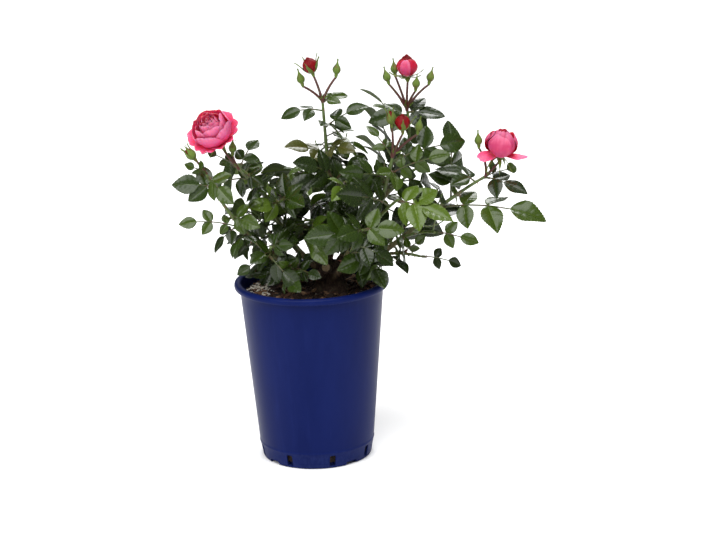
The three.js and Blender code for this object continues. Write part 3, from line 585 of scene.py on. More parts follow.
def cut_wood():
    """The dried end grain of a pruned cane: buff, mottled with brown."""
    material, tree = add_material("cut_wood", (0.4, 0.29, 0.17), 0.8)
    grain = add_noise(tree, 2.2, 5, 0.7)
    dark, middle, pale = (0.19, 0.12, 0.065), (0.38, 0.28, 0.16), (0.5, 0.4, 0.26)
    colour = add_ramp(tree, grain, (0.3, dark), (0.5, middle), (0.7, pale))
    finish_nodes(tree, colour, add_ramp(tree, grain, (0.3, 0.9), (0.8, 0.7)), grain, 0.3)
    return material


union = add_piece(union_shape(), [old_bark(), cut_wood()], ["bud_union"])
settled(union, remeshed)
wrinkled(union.data)
mark_cut_faces(union.data)
union.data.shade_smooth()


# ---------------------------------------------------------------- canes
# Eight woody canes rise from the knob: brown and cracked low down, green and smooth higher up, with
# hooked prickles. Each leaves the knob at the angle rise and bends to its tip.
LINE_STEPS = 6  # along a stem, where room is counted
FINE_STEPS = {"cane": 96, "stem": 42, "stalk": 30}  # where it is drawn
BARK_SEED = 3


def stem_line(foot, leaving, tip, steps):
    """A stem leaves its foot along a direction and bends to its tip."""
    foot, tip = np.asarray(foot, float), np.asarray(tip, float)
    bend = foot + leaving * (math.dist(foot, tip) * 0.5)
    shares = [i / steps for i in range(steps + 1)]
    return np.array([(1 - t) * (1 - t) * foot + 2 * (1 - t) * t * bend + t * t * tip for t in shares])


def along_line(points, share):
    place = share * (len(points) - 1)
    i = min(math.floor(place), len(points) - 2)
    return points[i] + (points[i + 1] - points[i]) * (place - i), unit(points[i + 1] - points[i])


class Cane(NamedTuple):
    """A cane's foot and tip, the angle it rises at in degrees, and its radius at both ends."""

    foot: tuple
    tip: tuple
    rise: float
    radius: tuple

    def line(self, steps):
        away = math.atan2(self.tip[1] - self.foot[1], self.tip[0] - self.foot[0])
        rise = math.radians(self.rise)
        level = math.cos(rise)
        leaving = np.array([math.cos(away) * level, math.sin(away) * level, math.sin(rise)])
        return stem_line(self.foot, leaving, self.tip, steps)


CANES = {
    "left_cane": Cane((12, 0, 245), (-55, -8, 350), 42, (4.4, 2.8)),
    "low_left_cane": Cane((12, -9, 236), (-76, -42, 306), 26, (3.8, 2.6)),
    "middle_cane": Cane((22, 4, 246), (28, 10, 344), 74, (4.6, 2.9)),
    "right_cane": Cane((34, -5, 244), (86, -20, 324), 40, (5.6, 3.2)),
    "far_right_cane": Cane((36, 4, 236), (148, 2, 309), 24, (4.8, 2.9)),
    "back_right_cane": Cane((30, 13, 244), (112, 50, 346), 52, (4.8, 2.9)),
    "back_left_cane": Cane((16, 13, 240), (-24, 66, 318), 46, (4.2, 2.7)),
    "front_cane": Cane((26, -11, 236), (50, -66, 296), 34, (4.0, 2.7)),
}


def knuckled(count, radius, swell, nodes, breadth, shift=0.0):
    """Radii along a stem, which swell at its nodes."""
    shares = np.linspace(0, 1, count)
    knuckles = swell * np.exp(-(((shares * nodes + shift) % 1 - 0.5) / breadth) ** 2)
    return np.interp(shares, (0, 1), radius) * (1 + knuckles)


def cane_bark():
    """Brown cracked bark low down, which gives way to smooth green with red brown on it higher up."""
    material, tree = add_material("cane_bark", (0.09, 0.08, 0.03), 0.6)
    patches = add_noise(tree, 11, 4, 0.6)
    streaks = add_noise(tree, 2.6, 5, 0.7, texture_place(tree, (1, 1, 0.3)))
    level = add_math(tree, "ADD", height_above_floor(tree), add_math(tree, "MULTIPLY", patches, 0.06))
    ripe = add_ramp(tree, level, (0.285, 1.0), (0.345, 0.0))
    crack, brown, grey = (0.03, 0.017, 0.01), (0.11, 0.07, 0.036), (0.2, 0.15, 0.085)
    old = add_ramp(tree, streaks, (0.32, crack), (0.52, brown), (0.72, grey))
    green, pale_green, flush = (0.075, 0.1, 0.025), (0.12, 0.14, 0.04), (0.13, 0.08, 0.035)
    young = add_ramp(tree, patches, (0.35, green), (0.58, pale_green), (0.72, flush))
    colour = add_mix(tree, ripe, young, old)
    finish_nodes(tree, colour, add_ramp(tree, ripe, (0.0, 0.5), (1.0, 0.85)), streaks, 0.45, 0.8)
    return material


def prickle(root, out, way, length, breadth):
    """A hooked prickle with an oval foot, whose point turns down the stem."""
    cosines, sines = circle(6).T
    side = np.cross(out, way)
    rings = []
    for reach, size, drop in ((-0.15, 1, 0), (0.1, 0.75, 0), (0.45, 0.38, -0.1), (0.8, 0.15, -0.3)):
        centre = root + out * reach * length + way * drop * length
        high, wide = np.outer(cosines, way) * breadth * size, np.outer(sines, side) * breadth * 0.5 * size
        rings.append(centre + high + wide)
    tip = root + out * length - way * 0.5 * length
    return closed(rings, root - out * 0.15 * length, tip, is_inward=True)


def add_prickles(gather, draw, line, radii, count, length):
    for i in range(count):
        share = (i + draw.uniform(0.2, 0.8)) / count
        point, tangent = along_line(line, share)
        out = beside_way(tangent, draw.uniform(0, 2 * math.pi))
        radius = radii[0] + (radii[1] - radii[0]) * share
        size = length * draw.uniform(0.6, 1.1)
        gather.add(*prickle(point + out * radius * 0.95, out, tangent, size, size * 0.45))


cane_gather, prickle_gather = Gather(), Gather()
bark_draw = np.random.default_rng(BARK_SEED)
for cane in CANES.values():
    fine = cane.line(FINE_STEPS["cane"])
    radii = knuckled(len(fine), cane.radius, 0.1, 5.3, 0.1, bark_draw.random())
    cane_gather.add(*tube(fine, radii, 22, lambda p: 0.09 * lumps(p * (1, 1, 0.6), 4, 3)))
    add_prickles(prickle_gather, bark_draw, cane.line(LINE_STEPS), cane.radius, 7, 5)
add_piece(cane_gather.mesh("cane_limbs", crease=60), [cane_bark()], list(CANES))


# ---------------------------------------------------------------- growth
# Young stems grow on from the canes' tips and sides, and carry compound leaves by a seeded rule. Every
# leaf is tried in its place, and is kept only where it has room. Heads are the buds and blooms.
HEAD_ROOM = {  # height and radius kept free
    "green_bud": [(6, 4), (14, 4)],
    "small_red_bud": [(6, 6), (14, 7), (22, 5)],
    "red_bud": [(6, 6), (16, 10), (24, 8)],
    "opening_bud": [(8, 10), (20, 14), (30, 10)],
    "half_open_bloom": [(8, 12), (22, 24), (34, 18)],
    "full_bloom": [(8, 14), (22, 31), (36, 24)],
}
CROWN = (46, 4, 205, 132, 478)  # middle in X and Y, half its width and depth, and its top
LEAF = {
    "length": 43,  # of the end leaflet
    "facing": 0.8,  # how far its upper face is turned out from the bush
    "spacing": {1: (0.5, 0.5), 2: (0.5, 0.5, 0.46)},  # along the leaf stalk, in end leaflet lengths
    "share": {1: (0.84,), 2: (0.68, 0.87)},  # of the end leaflet's length, for each pair
    "opening": {1: (60,), 2: (74, 60)},
    "turn_step": 137.5,
}
AIMED = {"slack": 0.97, "sag": 0.35, "lift": 0.13, "long_reach": 68, "shortest": 0.36, "front": 0.5}
STEM = {"gap": 0.3, "straight": 3, "sunk": 4, "tip": 1.7}  # where it leaves a cane, and its radius
SIDE_STEM = {"bend": 0.6, "radius": 2.2}
TIP_BEND = 0.3  # of a stem that grows on from a cane's tip
STALK = {"straight": 0.65, "share": 0.985, "room": 1.1}  # of a head, at a share of its stem
POT_HEIGHT = 235.5
CLEAR = {"above": 4, "rim": 86}  # leaves stay above the mix, and above the rim or inside this radius
LEAF_ROOM = {"turned": 2.8, "aimed": 2, "inner": 1.5}
LEAFLET_MARKS = ((0.4, 0), (0.66, 0), (0.95, 0), (0.33, 0.28), (0.33, -0.28), (0.62, 0.25), (0.62, -0.25))
TRIES = {"count": 24, "shrink": 0.012, "swing": 22}  # smaller and further round each time
WIDEST_MARK = 32


def random_stream(seed):
    """A repeatable stream of numbers from 0 to 1."""
    state = seed * 7919 + 1

    def draw():
        nonlocal state
        state = state * 16807 % 2147483647
        return state / 2147483647

    return draw


class Taken:
    """Points that keep room round them: everything that has grown so far."""

    def __init__(self):
        self.marks = np.empty((60000, 4))
        self.count = 0

    def add(self, marks):
        self.marks[self.count : self.count + len(marks)] = marks
        self.count += len(marks)

    def has_room(self, marks):
        down = marks[:, 2] < POT_HEIGHT + CLEAR["above"]
        out = np.hypot(marks[:, 0], marks[:, 1])
        if np.any(down & ((out > CLEAR["rim"]) | (marks[:, 2] < SOIL_LEVEL + CLEAR["above"]))):
            return False
        taken = self.marks[: self.count]
        reach = marks[:, 3].max() + WIDEST_MARK
        low, high = marks[:, :3].min(0) - reach, marks[:, :3].max(0) + reach
        taken = taken[np.all((taken[:, :3] > low) & (taken[:, :3] < high), axis=1)]
        apart = marks[:, None, :3] - taken[None, :, :3]
        rooms = marks[:, None, 3] + taken[None, :, 3]
        return not np.any((apart**2).sum(-1) < rooms**2)


def line_marks(points, radius):
    reach = sum(math.dist(p, q) for p, q in zip(points, points[1:]))
    count = max(2, math.ceil(reach / 6))
    return np.array([(*along_line(points, i / count)[0], radius + 1) for i in range(count + 1)])


def compound_leaf(node, heading, size, pairs, sag, draw, stretch=1, front=0):
    """A leaf's stations along its sagging stalk, and its leaflets: root, forward, up and length."""
    spacing = [share * stretch for share in LEAF["spacing"][pairs]]
    outward = unit(np.array([node[0] - UNION_PLACE[0], node[1] - UNION_PLACE[1], 0]))
    face = np.array([draw() - 0.5, draw() - 1 - front, 0.4 + draw() * 0.4]) + outward * LEAF["facing"]
    stations = []
    at = node
    for i, share in enumerate(spacing):
        along = unit(heading - (0, 0, sag * (i + 0.5) / len(spacing)))
        normal = unit(face - along * (face @ along))
        if i == 0:
            stations.append((at, along, normal))
        at = at + along * share * size
        stations.append((at, along, normal))

    def leaflet(station, sideways, length):
        at, along, normal = station
        opening = math.radians(sideways * (0.94 + 0.12 * draw()))
        droop = math.radians(5 + 22 * draw())
        roll = math.radians((draw() - 0.5) * 30)
        flat = along * math.cos(opening) + np.cross(normal, along) * math.sin(opening)
        forward = flat * math.cos(droop) - normal * math.sin(droop)
        level = unit(normal - forward * (normal @ forward))
        up = level * math.cos(roll) + np.cross(level, forward) * math.sin(roll)
        return at, forward, up, length

    leaflets = []
    for i, share in enumerate(LEAF["share"][pairs]):
        for side in (1, -1):
            leaflets.append(leaflet(stations[i + 1], side * LEAF["opening"][pairs][i], share * size))
    leaflets.append(leaflet(stations[pairs + 1], 0, size))
    return {"stations": stations, "leaflets": leaflets}


def leaf_marks(leaf, room):
    marks = [(*at, 1.5) for at, _, _ in leaf["stations"][1:]]
    for root, forward, up, length in leaf["leaflets"]:
        across = np.cross(up, forward)
        for ahead, sideways in LEAFLET_MARKS:
            marks.append((*(root + forward * ahead * length + across * sideways * length), room))
    return np.array(marks)


def aimed_leaf(node, target, size, shrink, draw):
    """A leaf that reaches to a point with an end leaflet of a size, if its stalk isn't too short then."""
    chord = target - node
    reach = math.sqrt(chord @ chord) * shrink / AIMED["slack"]
    pairs = 2 if reach > AIMED["long_reach"] else 1
    usual = sum(LEAF["spacing"][pairs])
    end = min(size * shrink, reach / (1 + usual * AIMED["shortest"]))
    heading = unit(unit(chord) + (0, 0, AIMED["sag"] * 0.5 + AIMED["lift"]))
    stretch = (reach / end - 1) / usual
    return compound_leaf(node, heading, end, pairs, AIMED["sag"], draw, stretch, AIMED["front"])


def turned_leaf(node, tangent, turn, size, pairs, draw):
    """A leaf that leaves the stem at the angle turn round it."""
    spread = math.radians(46 + 24 * draw())
    heading = tangent * math.cos(spread) + beside_way(tangent, turn) * math.sin(spread)
    sag = 0.1 + 0.6 * draw()
    return compound_leaf(node, heading, size, pairs, sag, draw)


def is_in_crown(marks, crown):
    x, y, half_width, half_depth, top = crown
    beside = np.hypot((marks[:, 0] - x) / half_width, (marks[:, 1] - y) / half_depth)
    return np.all(beside < 1) and np.all(marks[:, 2] < top)


@dataclasses.dataclass
class Spray:
    """A young stem and what it carries.

    It grows on a cane, at a share of it. Leaves is how many go round it by rule, the first at the angle
    turn. An aim is a leaf's share of the stem, the point it reaches to, and its end leaflet's length. A
    head is a kind, a place and the way that it faces.
    """

    name: str
    cane: str
    at: float
    tip: tuple
    leaves: int
    turn: float
    seed: int
    aims: list = ()
    heads: list = ()

    def __post_init__(self):
        cane = CANES[self.cane]
        is_side = self.at < 1
        end, tangent = along_line(cane.line(LINE_STEPS), self.at)
        foot = end + tangent * STEM["gap"]
        start = end if is_side else foot + tangent * STEM["straight"]
        to_tip = unit(np.array(self.tip) - end)
        leaving = unit(tangent + (to_tip - tangent) * (SIDE_STEM["bend"] if is_side else TIP_BEND))
        self.line = stem_line(start, leaving, self.tip, LINE_STEPS)
        self.fine = stem_line(start, leaving, self.tip, FINE_STEPS["stem"])
        if not is_side:
            self.line = np.array([foot, *self.line])
            self.fine = np.array([end - tangent * STEM["sunk"], foot, *self.fine])
        self.radius = (SIDE_STEM["radius"] if is_side else cane.radius[1], STEM["tip"])
        self.draw = random_stream(self.seed)
        self.foliage = []

    def stalk(self, base, steps, sunk=0):
        """The line of a head's stalk, which may start sunk into the stem."""
        point, tangent = along_line(self.line, STALK["share"])
        leaving = unit(tangent + (unit(base - point) - tangent) * STALK["straight"])
        return stem_line(point - leaving * sunk, leaving, base, steps)


SPRAYS = [
    Spray("left_bloom_spray", "left_cane", 1, (-88, -18, 389), 1, 200, 11, [
        (0.96, -63, 8, 425, 25), (0.8, -59, 16, 395, 22), (0.75, -60, -46, 369, 22),
        (1, -133, -4, 411, 18), (0.4, -58, -50, 367, 26),
    ], [
        ("full_bloom", (-110, -10, 421), (-0.3, -0.55, 0.78)),
        ("green_bud", (-94, -13, 404), (0.05, 0.1, 1)),
    ]),
    Spray("left_bud_spray", "low_left_cane", 1, (-128, -45, 392), 0, 150, 12, [
        (0.8, -168, -60, 384, 36), (0.95, -101, -92, 361, 30), (0.25, -164, -75, 330, 24),
        (0.15, -100, -82, 298, 30), (0.3, -124, -58, 290, 26), (0.42, -66, -78, 326, 28),
        (0.97, -149, -74, 406, 15),
    ], [
        ("small_red_bud", (-138, -45, 406), (-0.62, 0, 0.78)),
    ]),
    Spray("middle_bud_spray", "middle_cane", 1, (22, 8, 468), 1, 20, 13, [
        (0.9, -31, -6, 453, 27), (0.97, 54, 20, 478, 24), (0.74, 78, 10, 460, 30),
        (0.78, 50, -22, 430, 32), (0.48, -25, -18, 418, 34), (0.36, -23, -32, 389, 28),
        (0.55, 56, -28, 411, 26), (0.66, 71, 24, 425, 22),
    ], [
        ("red_bud", (12, 1, 500), (-0.3, -0.1, 0.95)), ("green_bud", (-2, 8, 486), (-0.25, 0, 0.97)),
        ("green_bud", (40, 14, 495), (0.15, 0, 1)),
    ]),
    Spray("red_bud_spray", "right_cane", 1, (108, -25, 400), 1, 90, 44, [
        (0.9, 203, -10, 407, 37), (0.7, 179, -40, 399, 28), (0.65, 46, -66, 385, 32),
        (0.8, 114, -66, 364, 30), (0.97, 78, -6, 436, 22),
    ], [
        ("small_red_bud", (108, -28, 437), (-0.1, 0, 1)), ("red_bud", (121, -32, 429), (0, -0.1, 1)),
        ("green_bud", (140, -20, 425), (0.2, 0, 0.98)),
    ]),
    Spray("pink_bud_spray", "back_right_cane", 1, (130, 40, 447), 2, 40, 15, [
        (0.92, 83, 24, 436, 34), (0.95, 177, 30, 439, 36),
    ], [
        ("opening_bud", (132, 38, 482), (-0.02, -0.05, 1)),
        ("green_bud", (108, 38, 479), (-0.25, 0, 0.97)), ("green_bud", (117, 52, 486), (-0.1, 0.1, 1)),
        ("green_bud", (141, 24, 472), (0.1, -0.2, 1)), ("green_bud", (159, 42, 476), (0.25, 0, 0.97)),
    ]),
    Spray("right_bloom_spray", "far_right_cane", 1, (228, -5, 365), 1, 60, 16, [
        (0.85, 166, 6, 381, 36), (0.96, 275, -30, 345, 34), (0.9, 273, 30, 362, 22),
        (0.33, 296, -42, 309, 48), (0.5, 204, 44, 323, 26),
    ], [
        ("half_open_bloom", (244, -6, 383), (0.12, -0.15, 0.98)),
        ("green_bud", (219, 0, 400), (-0.05, 0, 1)),
    ]),
    Spray("right_low_spray", "far_right_cane", 0.72, (158, -42, 302), 0, 10, 17, [
        (0.9, 210, -58, 287, 25), (0.5, 145, -62, 321, 20),
    ]),
    Spray("right_thin_spray", "far_right_cane", 0.42, (140, -22, 266), 1, 10, 18, [
        (1, 192, -20, 248, 20), (0.2, 124, -40, 251, 26), (0.6, 148, -22, 291, 18),
    ]),
    Spray("front_spray", "front_cane", 1, (66, -92, 322), 0, 0, 19, [
        (0.95, 41, -128, 325, 34), (0.95, 113, -112, 325, 34), (0.6, -3, -108, 317, 38),
    ]),
    Spray("front_right_spray", "right_cane", 0.4, (74, -46, 268), 0, 0, 20, [
        (0.9, 90, -88, 247, 32), (0.6, 42, -94, 273, 28),
    ]),
    Spray("front_low_spray", "low_left_cane", 0.32, (-18, -52, 262), 0, 0, 21, [
        (0.8, -28, -76, 242, 20), (1, 6, -92, 261, 20), (1, -37, -86, 278, 18), (0.5, 3, -58, 280, 20),
    ]),
    Spray("front_left_spray", "low_left_cane", 0.6, (-50, -62, 296), 0, 0, 22, [
        (0.9, -26, -88, 304, 22), (0.75, -24, -50, 313, 20), (0.5, -72, -78, 282, 27),
        (0.3, -90, -64, 259, 20),
    ]),
    Spray("left_low_spray", "left_cane", 0.4, (-58, 14, 294), 2, 30, 23, [
        (0.8, -90, -30, 275, 20),
    ]),
    Spray("left_middle_spray", "left_cane", 0.75, (-32, -42, 352), 1, 0, 24, [
        (0.9, 7, -40, 382, 38), (0.95, -10, -90, 356, 34), (0.7, -69, -60, 348, 36),
    ]),
    Spray("centre_left_spray", "middle_cane", 0.45, (-6, -34, 322), 3, 60, 25),
    Spray("centre_front_spray", "middle_cane", 0.75, (48, -40, 372), 2, 0, 36, [
        (0.95, 35, -78, 360, 26), (0.8, 72, -74, 349, 28),
    ]),
    Spray("right_middle_spray", "right_cane", 0.8, (112, -56, 350), 2, 0, 27, [
        (0.95, 176, -82, 325, 44),
    ]),
    Spray("back_middle_spray", "middle_cane", 0.85, (40, 68, 388), 2, 0, 59),
    Spray("back_left_spray", "back_left_cane", 1, (-60, 88, 336), 3, 0, 35),
    Spray("far_left_spray", "back_left_cane", 0.6, (-82, 54, 306), 2, 0, 30),
    Spray("back_low_spray", "back_left_cane", 0.35, (14, 84, 280), 2, 0, 31),
    Spray("back_spray", "back_right_cane", 0.45, (66, 96, 326), 3, 0, 32),
    Spray("back_right_spray", "back_right_cane", 0.8, (160, 74, 372), 2, 0, 43),
    Spray("far_right_low_spray", "far_right_cane", 0.34, (112, 52, 280), 2, 0, 34),
]  # fmt: skip
SPRAY_NAMES = [spray.name for spray in SPRAYS]
taken = Taken()
for cane in CANES.values():
    taken.add(line_marks(cane.line(LINE_STEPS), cane.radius[0]))
for spray in SPRAYS:
    taken.add(line_marks(spray.line, spray.radius[0]))
    for kind, base, facing in spray.heads:
        taken.add(line_marks(spray.stalk(base, 3), STALK["room"]))
        way = unit(np.array(facing, float))
        taken.add(np.array([(*(base + way * height), radius) for height, radius in HEAD_ROOM[kind]]))


def grow(foliage, tried_leaf, room, crown=None):
    """Try a leaf, smaller each time, and keep it once it has room and stays in the crown."""
    for attempt in range(TRIES["count"]):
        leaf = tried_leaf(attempt, 1 - TRIES["shrink"] * attempt)
        marks = leaf_marks(leaf, room)
        if taken.has_room(marks) and (crown is None or is_in_crown(marks, crown)):
            foliage.append(leaf)
            taken.add(marks)
            break


def grow_turned(foliage, line, share, turn, size, pairs, draw, crown, room):
    """Grow a leaf at a share of a stem, swung a little further round it each time."""
    point, tangent = along_line(line, share)

    def tried_leaf(attempt, shrink):
        swing = (1 if attempt % 2 else -1) * math.ceil(attempt / 2) * TRIES["swing"]
        return turned_leaf(point, tangent, math.radians(turn + swing), size * shrink, pairs, draw)

    grow(foliage, tried_leaf, room, crown)


for spray in SPRAYS:
    for share, *target, size in spray.aims:
        aim = along_line(spray.line, share)[0], np.array(target, float), size
        grow(spray.foliage, lambda _, shrink: aimed_leaf(*aim, shrink, spray.draw), LEAF_ROOM["aimed"])
for spray in SPRAYS:
    for i in range(spray.leaves):
        share = 0.06 + (0.88 * (i + 0.5)) / spray.leaves
        size = LEAF["length"] * (0.8 + 0.3 * spray.draw()) * (0.8 if share > 0.75 else 1)
        pairs = 1 if spray.draw() < 0.25 else 2
        turn = spray.turn + LEAF["turn_step"] * i
        room = LEAF_ROOM["turned"]
        grow_turned(spray.foliage, spray.line, share, turn, size, pairs, spray.draw, CROWN, room)


# Finer side shoots and more leaves fill the middle of the bush by the same rule, in what room is left.
INNER_CROWN = (36, 0, 142, 118, 412)
OPEN_PLACES = [(14, -40, 256, 16), (14, -60, 262, 16), (16, -80, 266, 14)]  # in front of the pruned stubs
GAPS = [  # gaps right through the crown: where each is at its middle, as X, Z and radius
    (60, 355, 7), (10, 351, 7), (-15, 325, 7), (18, 319, 7), (-33, 344, 8), (-7, 273, 6), (-58, 293, 7),
    (35, 290, 6), (87, 401, 10), (123, 338, 8), (95, 338, 8), (96, 289, 8), (-44, 413, 18), (-57, 397, 16),
    (-9, 406, 14), (-30, 384, 12), (-88, 352, 9), (-98, 318, 8), (-108, 290, 9), (140, 372, 12),
    (130, 300, 9), (70, 440, 12), (44, 436, 8), (141, 240, 15), (156, 257, 12), (126, 230, 14),
    (163, 240, 14),
]  # fmt: skip
GAP_END = (0, -2854, 1045)  # they all run towards this place, high in front
SHOOTS = {"shares": (0.3, 0.52, 0.74, 0.93), "length": (24, 46), "radius": (1.3, 0.8), "seed": 91}
taken.add(np.array(OPEN_PLACES))
for x, z, radius in GAPS:
    way = unit(np.array(GAP_END) - (x, 0, z))
    taken.add(np.array([(*(way * step + (x, 0, z)), radius) for step in range(-125, 126, 5)]))
shoot_draw = random_stream(SHOOTS["seed"])
shoots = []
stems = [cane.line(LINE_STEPS) for cane in CANES.values()] + [spray.line for spray in SPRAYS]
for k, line in enumerate(stems):
    for i, share in enumerate(SHOOTS["shares"]):
        point, tangent = along_line(line, share)
        away = beside_way(tangent, math.radians(LEAF["turn_step"] * (i + 1.7 * k)))
        length = np.interp(shoot_draw(), (0, 1), SHOOTS["length"])
        way = unit(tangent * 0.5 + away * 0.7 + np.array([0, 0, 0.35]))
        shoot = stem_line(point, unit(tangent * 0.3 + away), point + way * length, LINE_STEPS)
        marks = line_marks(shoot, 0.6)[2:]
        if taken.has_room(marks) and is_in_crown(marks, INNER_CROWN):
            taken.add(marks)
            shoots.append(shoot)
inner_leaves = []
for k, line in enumerate([*shoots, *stems]):
    count = 2 if k < len(shoots) else 5
    for i in range(count):
        share = (i + 0.9) / (count + 0.15)
        size = LEAF["length"] * (0.6 + 0.3 * shoot_draw())
        pairs = 1 if shoot_draw() < 0.3 else 2
        turn = LEAF["turn_step"] * i + 77 * k
        room = LEAF_ROOM["inner"]
        grow_turned(inner_leaves, line, share, turn, size, pairs, shoot_draw, INNER_CROWN, room)


# ---------------------------------------------------------------- young stems
# Smooth green stems, flushed red brown in patches, with a few small prickles. Each leaf's stalk
# carries its leaflets in pairs, and hugs the stem with two narrow stipules.
STIPULE = {"length": 11, "width": 1.5, "thickness": 0.35, "spread": 6}


def smooth_line(points, steps):
    """A curve through the points."""
    points = np.asarray(points, float)
    ends = np.concatenate([[2 * points[0] - points[1]], points, [2 * points[-1] - points[-2]]])
    line = []
    for p, q, r, s in zip(ends, ends[1:], ends[2:], ends[3:]):
        for i in range(steps):
            t = i / steps
            square, cube = 2 * p - 5 * q + 4 * r - s, 3 * q - p - 3 * r + s
            line.append(q + ((r - p) * t + square * t * t + cube * t**3) / 2)
    return np.array([*line, points[-1]])


def green_stem(name, green, flush, amount):
    """Smooth young bark: green with a red brown flush in patches."""
    material, tree = add_material(name, green, 0.45)
    patches = add_noise(tree, 8, 3, 0.6)
    ribs = add_noise(tree, 1.1, 3, 0.6)
    colour = add_mix(tree, add_ramp(tree, patches, (0.5 - amount, 0.0), (0.75 - amount, 1.0)), green, flush)
    finish_nodes(tree, colour, add_ramp(tree, ribs, (0.3, 0.38), (0.7, 0.56)), ribs, 0.12)
    return material


@functools.cache
def blade_faces(rows, columns):
    """Quads of a blade's upper and lower faces, and the corner of its grid that each corner stands on."""
    upper = np.arange(rows * columns).reshape(rows, columns)
    lower = upper.copy()
    inside = (rows - 2) * (columns - 2)
    lower[1:-1, 1:-1] = rows * columns + np.arange(inside).reshape(rows - 2, columns - 2)

    def quads(index):
        return np.stack([index[:-1, :-1], index[:-1, 1:], index[1:, 1:], index[1:, :-1]], -1).reshape(-1, 4)

    return quads(upper)[:, ::-1], quads(lower), quads(upper)


def blade(grid, normals, thickness):
    """A thin closed blade round a grid of points: its faces meet along the edge."""
    rows, columns = grid.shape[:2]
    half = np.zeros((rows, columns, 1))
    half[1:-1, 1:-1] = thickness / 2
    shift = normals * half
    points = np.concatenate([(grid + shift).reshape(-1, 3), (grid - shift)[1:-1, 1:-1].reshape(-1, 3)])
    return points, *blade_faces(rows, columns)


def add_stipules(gather, leaf):
    """Two narrow wings along the foot of a leaf's stalk, with free tips."""
    at, along, normal = leaf["stations"][0]
    side = np.cross(normal, along)
    t = np.linspace(0, 1, 6)[:, None]
    s = np.linspace(-1, 1, 3)[None, :]
    width = STIPULE["width"] * np.array([0.3, 1, 1, 0.8, 0.45, 0.06])[:, None]
    ahead = STIPULE["length"] * t + 0 * s
    above = 0.3 * t + 0 * s
    for way in (1, -1):
        beside = way * (0.4 + width * 0.5 * (1 + way * s) + STIPULE["spread"] * np.clip(t - 0.6, 0, 1))
        grid = at + ahead[..., None] * along + beside[..., None] * side + above[..., None] * normal
        points, upper, lower, _ = blade(grid, np.broadcast_to(normal, grid.shape), STIPULE["thickness"])
        gather.add(points, upper, lower)


stem_gather, stalk_gather = Gather(), Gather()
for spray in SPRAYS:
    radii = knuckled(len(spray.fine), spray.radius, 0.13, 4.2, 0.09)
    stem_gather.add(*tube(spray.fine, radii, 14, lambda p: 0.04 * lumps(p, 5, 2)))
    add_prickles(prickle_gather, bark_draw, spray.line, spray.radius, 4, 3.6)
for shoot in shoots:
    stem_gather.add(*tube(smooth_line(shoot, 4), np.linspace(*SHOOTS["radius"], 25), 9))
foliage = [leaf for spray in SPRAYS for leaf in spray.foliage] + inner_leaves
for leaf in foliage:
    line = smooth_line([at for at, _, _ in leaf["stations"]], 5)
    size = leaf["leaflets"][-1][3] / LEAF["length"]
    stalk_gather.add(*tube(line, np.linspace(1.25, 0.9, len(line)) * (0.65 + 0.35 * size), 7))
    add_stipules(stalk_gather, leaf)
stem_skin = green_stem("young_stem_bark", (0.085, 0.13, 0.03), (0.13, 0.055, 0.03), -0.02)
stalk_skin = green_stem("leaf_stalk_skin", (0.045, 0.068, 0.013), (0.085, 0.032, 0.02), 0.06)
horn = green_stem("prickle_horn", (0.16, 0.06, 0.035), (0.3, 0.17, 0.08), -0.05)
add_piece(stem_gather.mesh("young_stems", crease=60), [stem_skin], SPRAY_NAMES)
add_piece(stalk_gather.mesh("leaf_stalks", crease=50), [stalk_skin], SPRAY_NAMES)
add_piece(prickle_gather.mesh("prickles", crease=50), [horn])


# ---------------------------------------------------------------- leaflets
# Toothed leaflets folded along their midrib and sunk over their side veins: glossy above and paler and
# duller below. Each leaf takes one tone. Leaves inside and low in the middle of the bush take deep tones,
# partly the deeper green of old leaves and partly painted shade of the bush's dark middle; young outer
# ones are fresher.
LEAFLET_ROWS = 24
ACROSS = np.array([-1, -0.56, -0.08, 0, 0.08, 0.56, 1])
VEINS = 6  # on each side of the midrib
HALF_BREADTH = 0.35
TONES = [  # name, upper face, its veins, lower face, share of the young leaves, share of the old ones, whose darker tones are partly painted shade
    ("deep", (0.0085, 0.0175, 0.0015), (0.021, 0.039, 0.004), (0.044, 0.068, 0.014), 0.27, 0.5),
    ("dark", (0.0145, 0.03, 0.002), (0.033, 0.059, 0.006), (0.056, 0.086, 0.018), 0.32, 0.34),
    ("mid", (0.03, 0.056, 0.003), (0.058, 0.095, 0.009), (0.076, 0.112, 0.024), 0.26, 0.13),
    ("fresh", (0.062, 0.106, 0.008), (0.1, 0.155, 0.018), (0.108, 0.158, 0.032), 0.12, 0.03),
    ("bronzed", (0.045, 0.052, 0.008), (0.085, 0.075, 0.016), (0.088, 0.105, 0.028), 0.03, 0),
]
# Leaves low in the middle of the crown take the old leaves' darker tones, partly as painted shade.
SHADED_OLD_CROWN = (25, -20, 100, 140, 350)
LEAVES_IN_PIECE = 60
LEAF_SEED, TONE_SEED = 17, 1661


